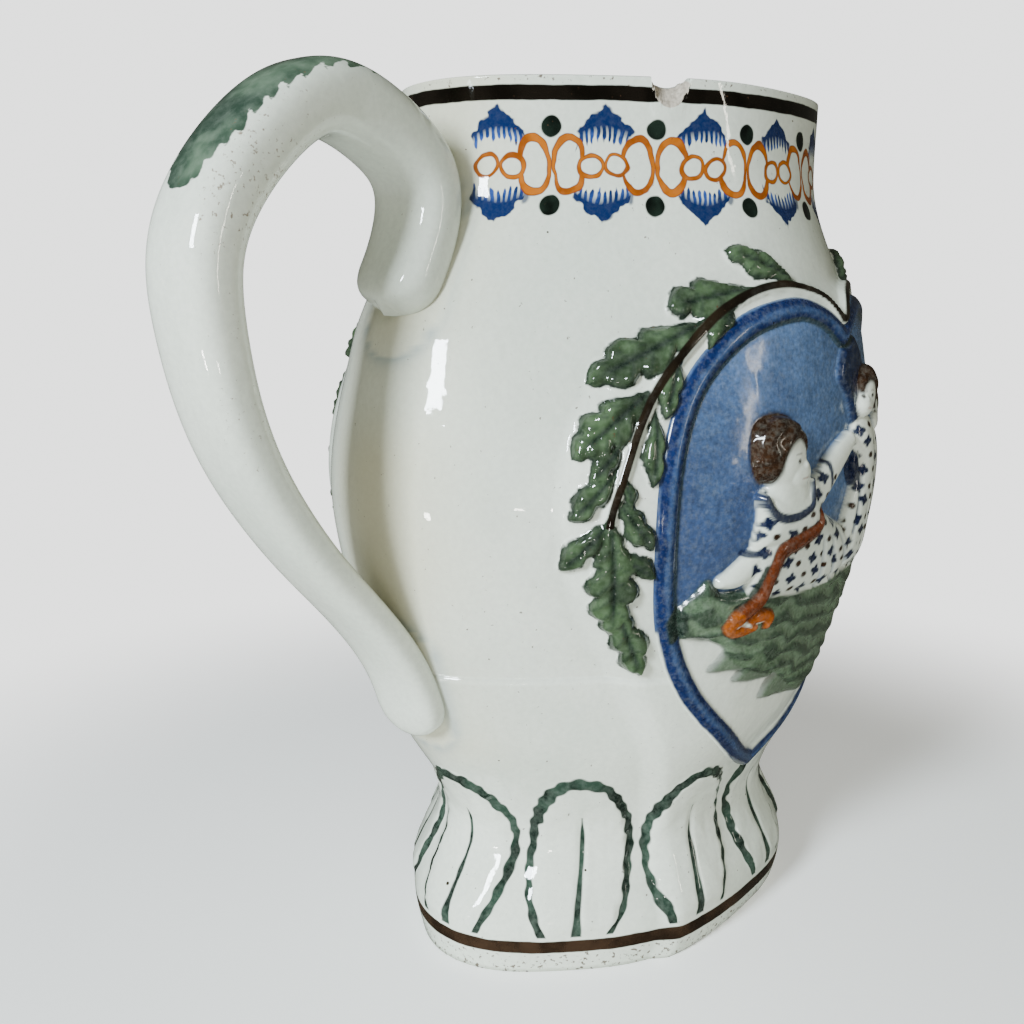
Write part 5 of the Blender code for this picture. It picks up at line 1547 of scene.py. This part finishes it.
# Lamps stand round the jug by their turn from the camera, positive to its right: turn and rise
# in degrees, distance, size, radiance, colour and whether the gloss mirrors it.
LAMPS = (("window", -32, 24, 1.00, (0.20, 0.27), 118.0, (0.90, 1.0, 1.08), True),
         ("soft_wall_front", 6, 22, 0.70, (0.42, 0.46), 2.3, (1.0, 1.0, 0.94), False),
         ("soft_wall_left", -70, 16, 0.70, (0.45, 0.60), 0.25, (1.0, 1.0, 0.85), False),
         ("soft_wall_right", 106, 26, 0.80, (0.70, 0.60), 0.7, (1.0, 1.0, 0.76), False),
         ("narrow_window_right", 68, 8, 0.90, (0.035, 0.26), 24.0, (1.0, 0.93, 0.78), True),
         ("low_pane_left", -36, -13, 0.30, (0.022, 0.012), 90.0, (1.0, 0.97, 0.90), True),
         ("low_pane_middle", 4, -12, 0.30, (0.020, 0.007), 70.0, (1.0, 0.95, 0.86), True))


class JUG_OT_stage(bpy.types.Operator):
    """Lays the pale floor and sets the soft lights, the pale surroundings and the camera"""
    bl_idname = "jug.stage"
    bl_label = "Stage"

    def execute(self, context):
        scene = context.scene
        mesh = bpy.data.meshes.new("floor")
        turns = np.linspace(0, 2 * np.pi, 96, endpoint=False)
        rim = np.stack((np.cos(turns), np.sin(turns), 0 * turns), 1) * FLOOR_REACH
        mesh.from_pydata(rim.tolist(), [], [tuple(range(96))])
        floor = bpy.data.objects.new("floor", mesh)
        material = pale_paper()
        mesh.materials.append(material)
        scene.collection.objects.link(floor)
        # The jug's gloss mirrors the dark room and the windows, and not the paper.
        floor.visible_glossy = False

        # The room is dark to the jug, and pale where the camera looks past the floor's edge.
        world = bpy.data.worlds.new("pale_room")
        scene.world = world
        world.use_nodes = True
        tree = world.node_tree
        seen = add(tree, "LightPath", out="Is Camera Ray")
        back = tree.nodes["Background"]
        tree.links.new(add(tree, "Mix RGBA", seen, (*ROOM_LIGHT, 1), (*BACKDROP_LIGHT, 1)),
                       back.inputs["Color"])

        for name, turn, rise, reach, size, radiance, colour, mirrored in LAMPS:
            light = bpy.data.lights.new(name, "AREA")
            light.shape = "RECTANGLE"
            light.size, light.size_y = size
            light.energy = radiance * np.pi * size[0] * size[1]
            light.color = colour
            lamp = bpy.data.objects.new(name, light)
            heading = VIEW_TURN - np.pi / 2 + np.radians(turn)
            rise = np.radians(rise)
            aim = Vector((0, 0, 0.09))
            spot = Vector((np.cos(heading) * np.cos(rise), np.sin(heading) * np.cos(rise),
                              np.sin(rise))) * reach + aim
            lamp.location = spot
            lamp.visible_glossy = mirrored
            lamp.rotation_euler = (aim - spot).to_track_quat("-Z", "Y").to_euler()
            scene.collection.objects.link(lamp)

        camera = bpy.data.cameras.new("camera")
        camera.lens, camera.sensor_width = VIEW_LENS, 36.0
        camera.clip_start = 0.01
        eye = bpy.data.objects.new("camera", camera)
        back_turn = np.array((np.sin(VIEW_TURN), -np.cos(VIEW_TURN), 0))
        spot = back_turn * VIEW_DISTANCE + (0, 0, VIEW_HEIGHT)
        turn = VIEW_TURN + VIEW_YAW
        ahead = np.array((-np.sin(turn) * np.cos(VIEW_PITCH), np.cos(turn) * np.cos(VIEW_PITCH),
                          -np.sin(VIEW_PITCH)))
        right = np.array((np.cos(turn), np.sin(turn), 0))
        upward = np.cross(right, ahead)
        right, upward = (right * np.cos(VIEW_ROLL) + upward * np.sin(VIEW_ROLL),
                         upward * np.cos(VIEW_ROLL) - right * np.sin(VIEW_ROLL))
        rows = np.column_stack((right, upward, -ahead, spot)).tolist() + [[0, 0, 0, 1]]
        eye.matrix_world = Matrix(rows)
        scene.collection.objects.link(eye)
        scene.camera = eye
        return {"FINISHED"}


class JUG_PT_panel(bpy.types.Panel):
    """Lists the jug's pieces, sizes and colours in the 3D view's sidebar"""
    bl_label = "Pearlware jug"
    bl_idname = "JUG_PT_panel"
    bl_space_type = "VIEW_3D"
    bl_region_type = "UI"
    bl_category = "Jug"

    def draw(self, context):
        for group in (context.scene.jug_sizes, context.scene.jug_colours):
            for name in group.bl_rna.properties.keys():
                if name not in ("rna_type", "name"):
                    self.layout.prop(group, name)
        for operator in OPERATORS:
            self.layout.operator(operator.bl_idname)


OPERATORS = (JUG_OT_body, JUG_OT_medallions, JUG_OT_handle, JUG_OT_stage)
CLASSES = (JugSizes, JugColours) + OPERATORS + (JUG_PT_panel,)


def register():
    for kind in CLASSES:
        bpy.utils.register_class(kind)
    bpy.types.Scene.jug_sizes = PointerProperty(type=JugSizes)
    bpy.types.Scene.jug_colours = PointerProperty(type=JugColours)


def unregister():
    del bpy.types.Scene.jug_colours
    del bpy.types.Scene.jug_sizes
    for kind in reversed(CLASSES):
        bpy.utils.unregister_class(kind)


def main():
    register()
    for operator in OPERATORS:
        group, name = operator.bl_idname.split(".")
        getattr(getattr(bpy.ops, group), name)()


if __name__ == "__main__":
    main()
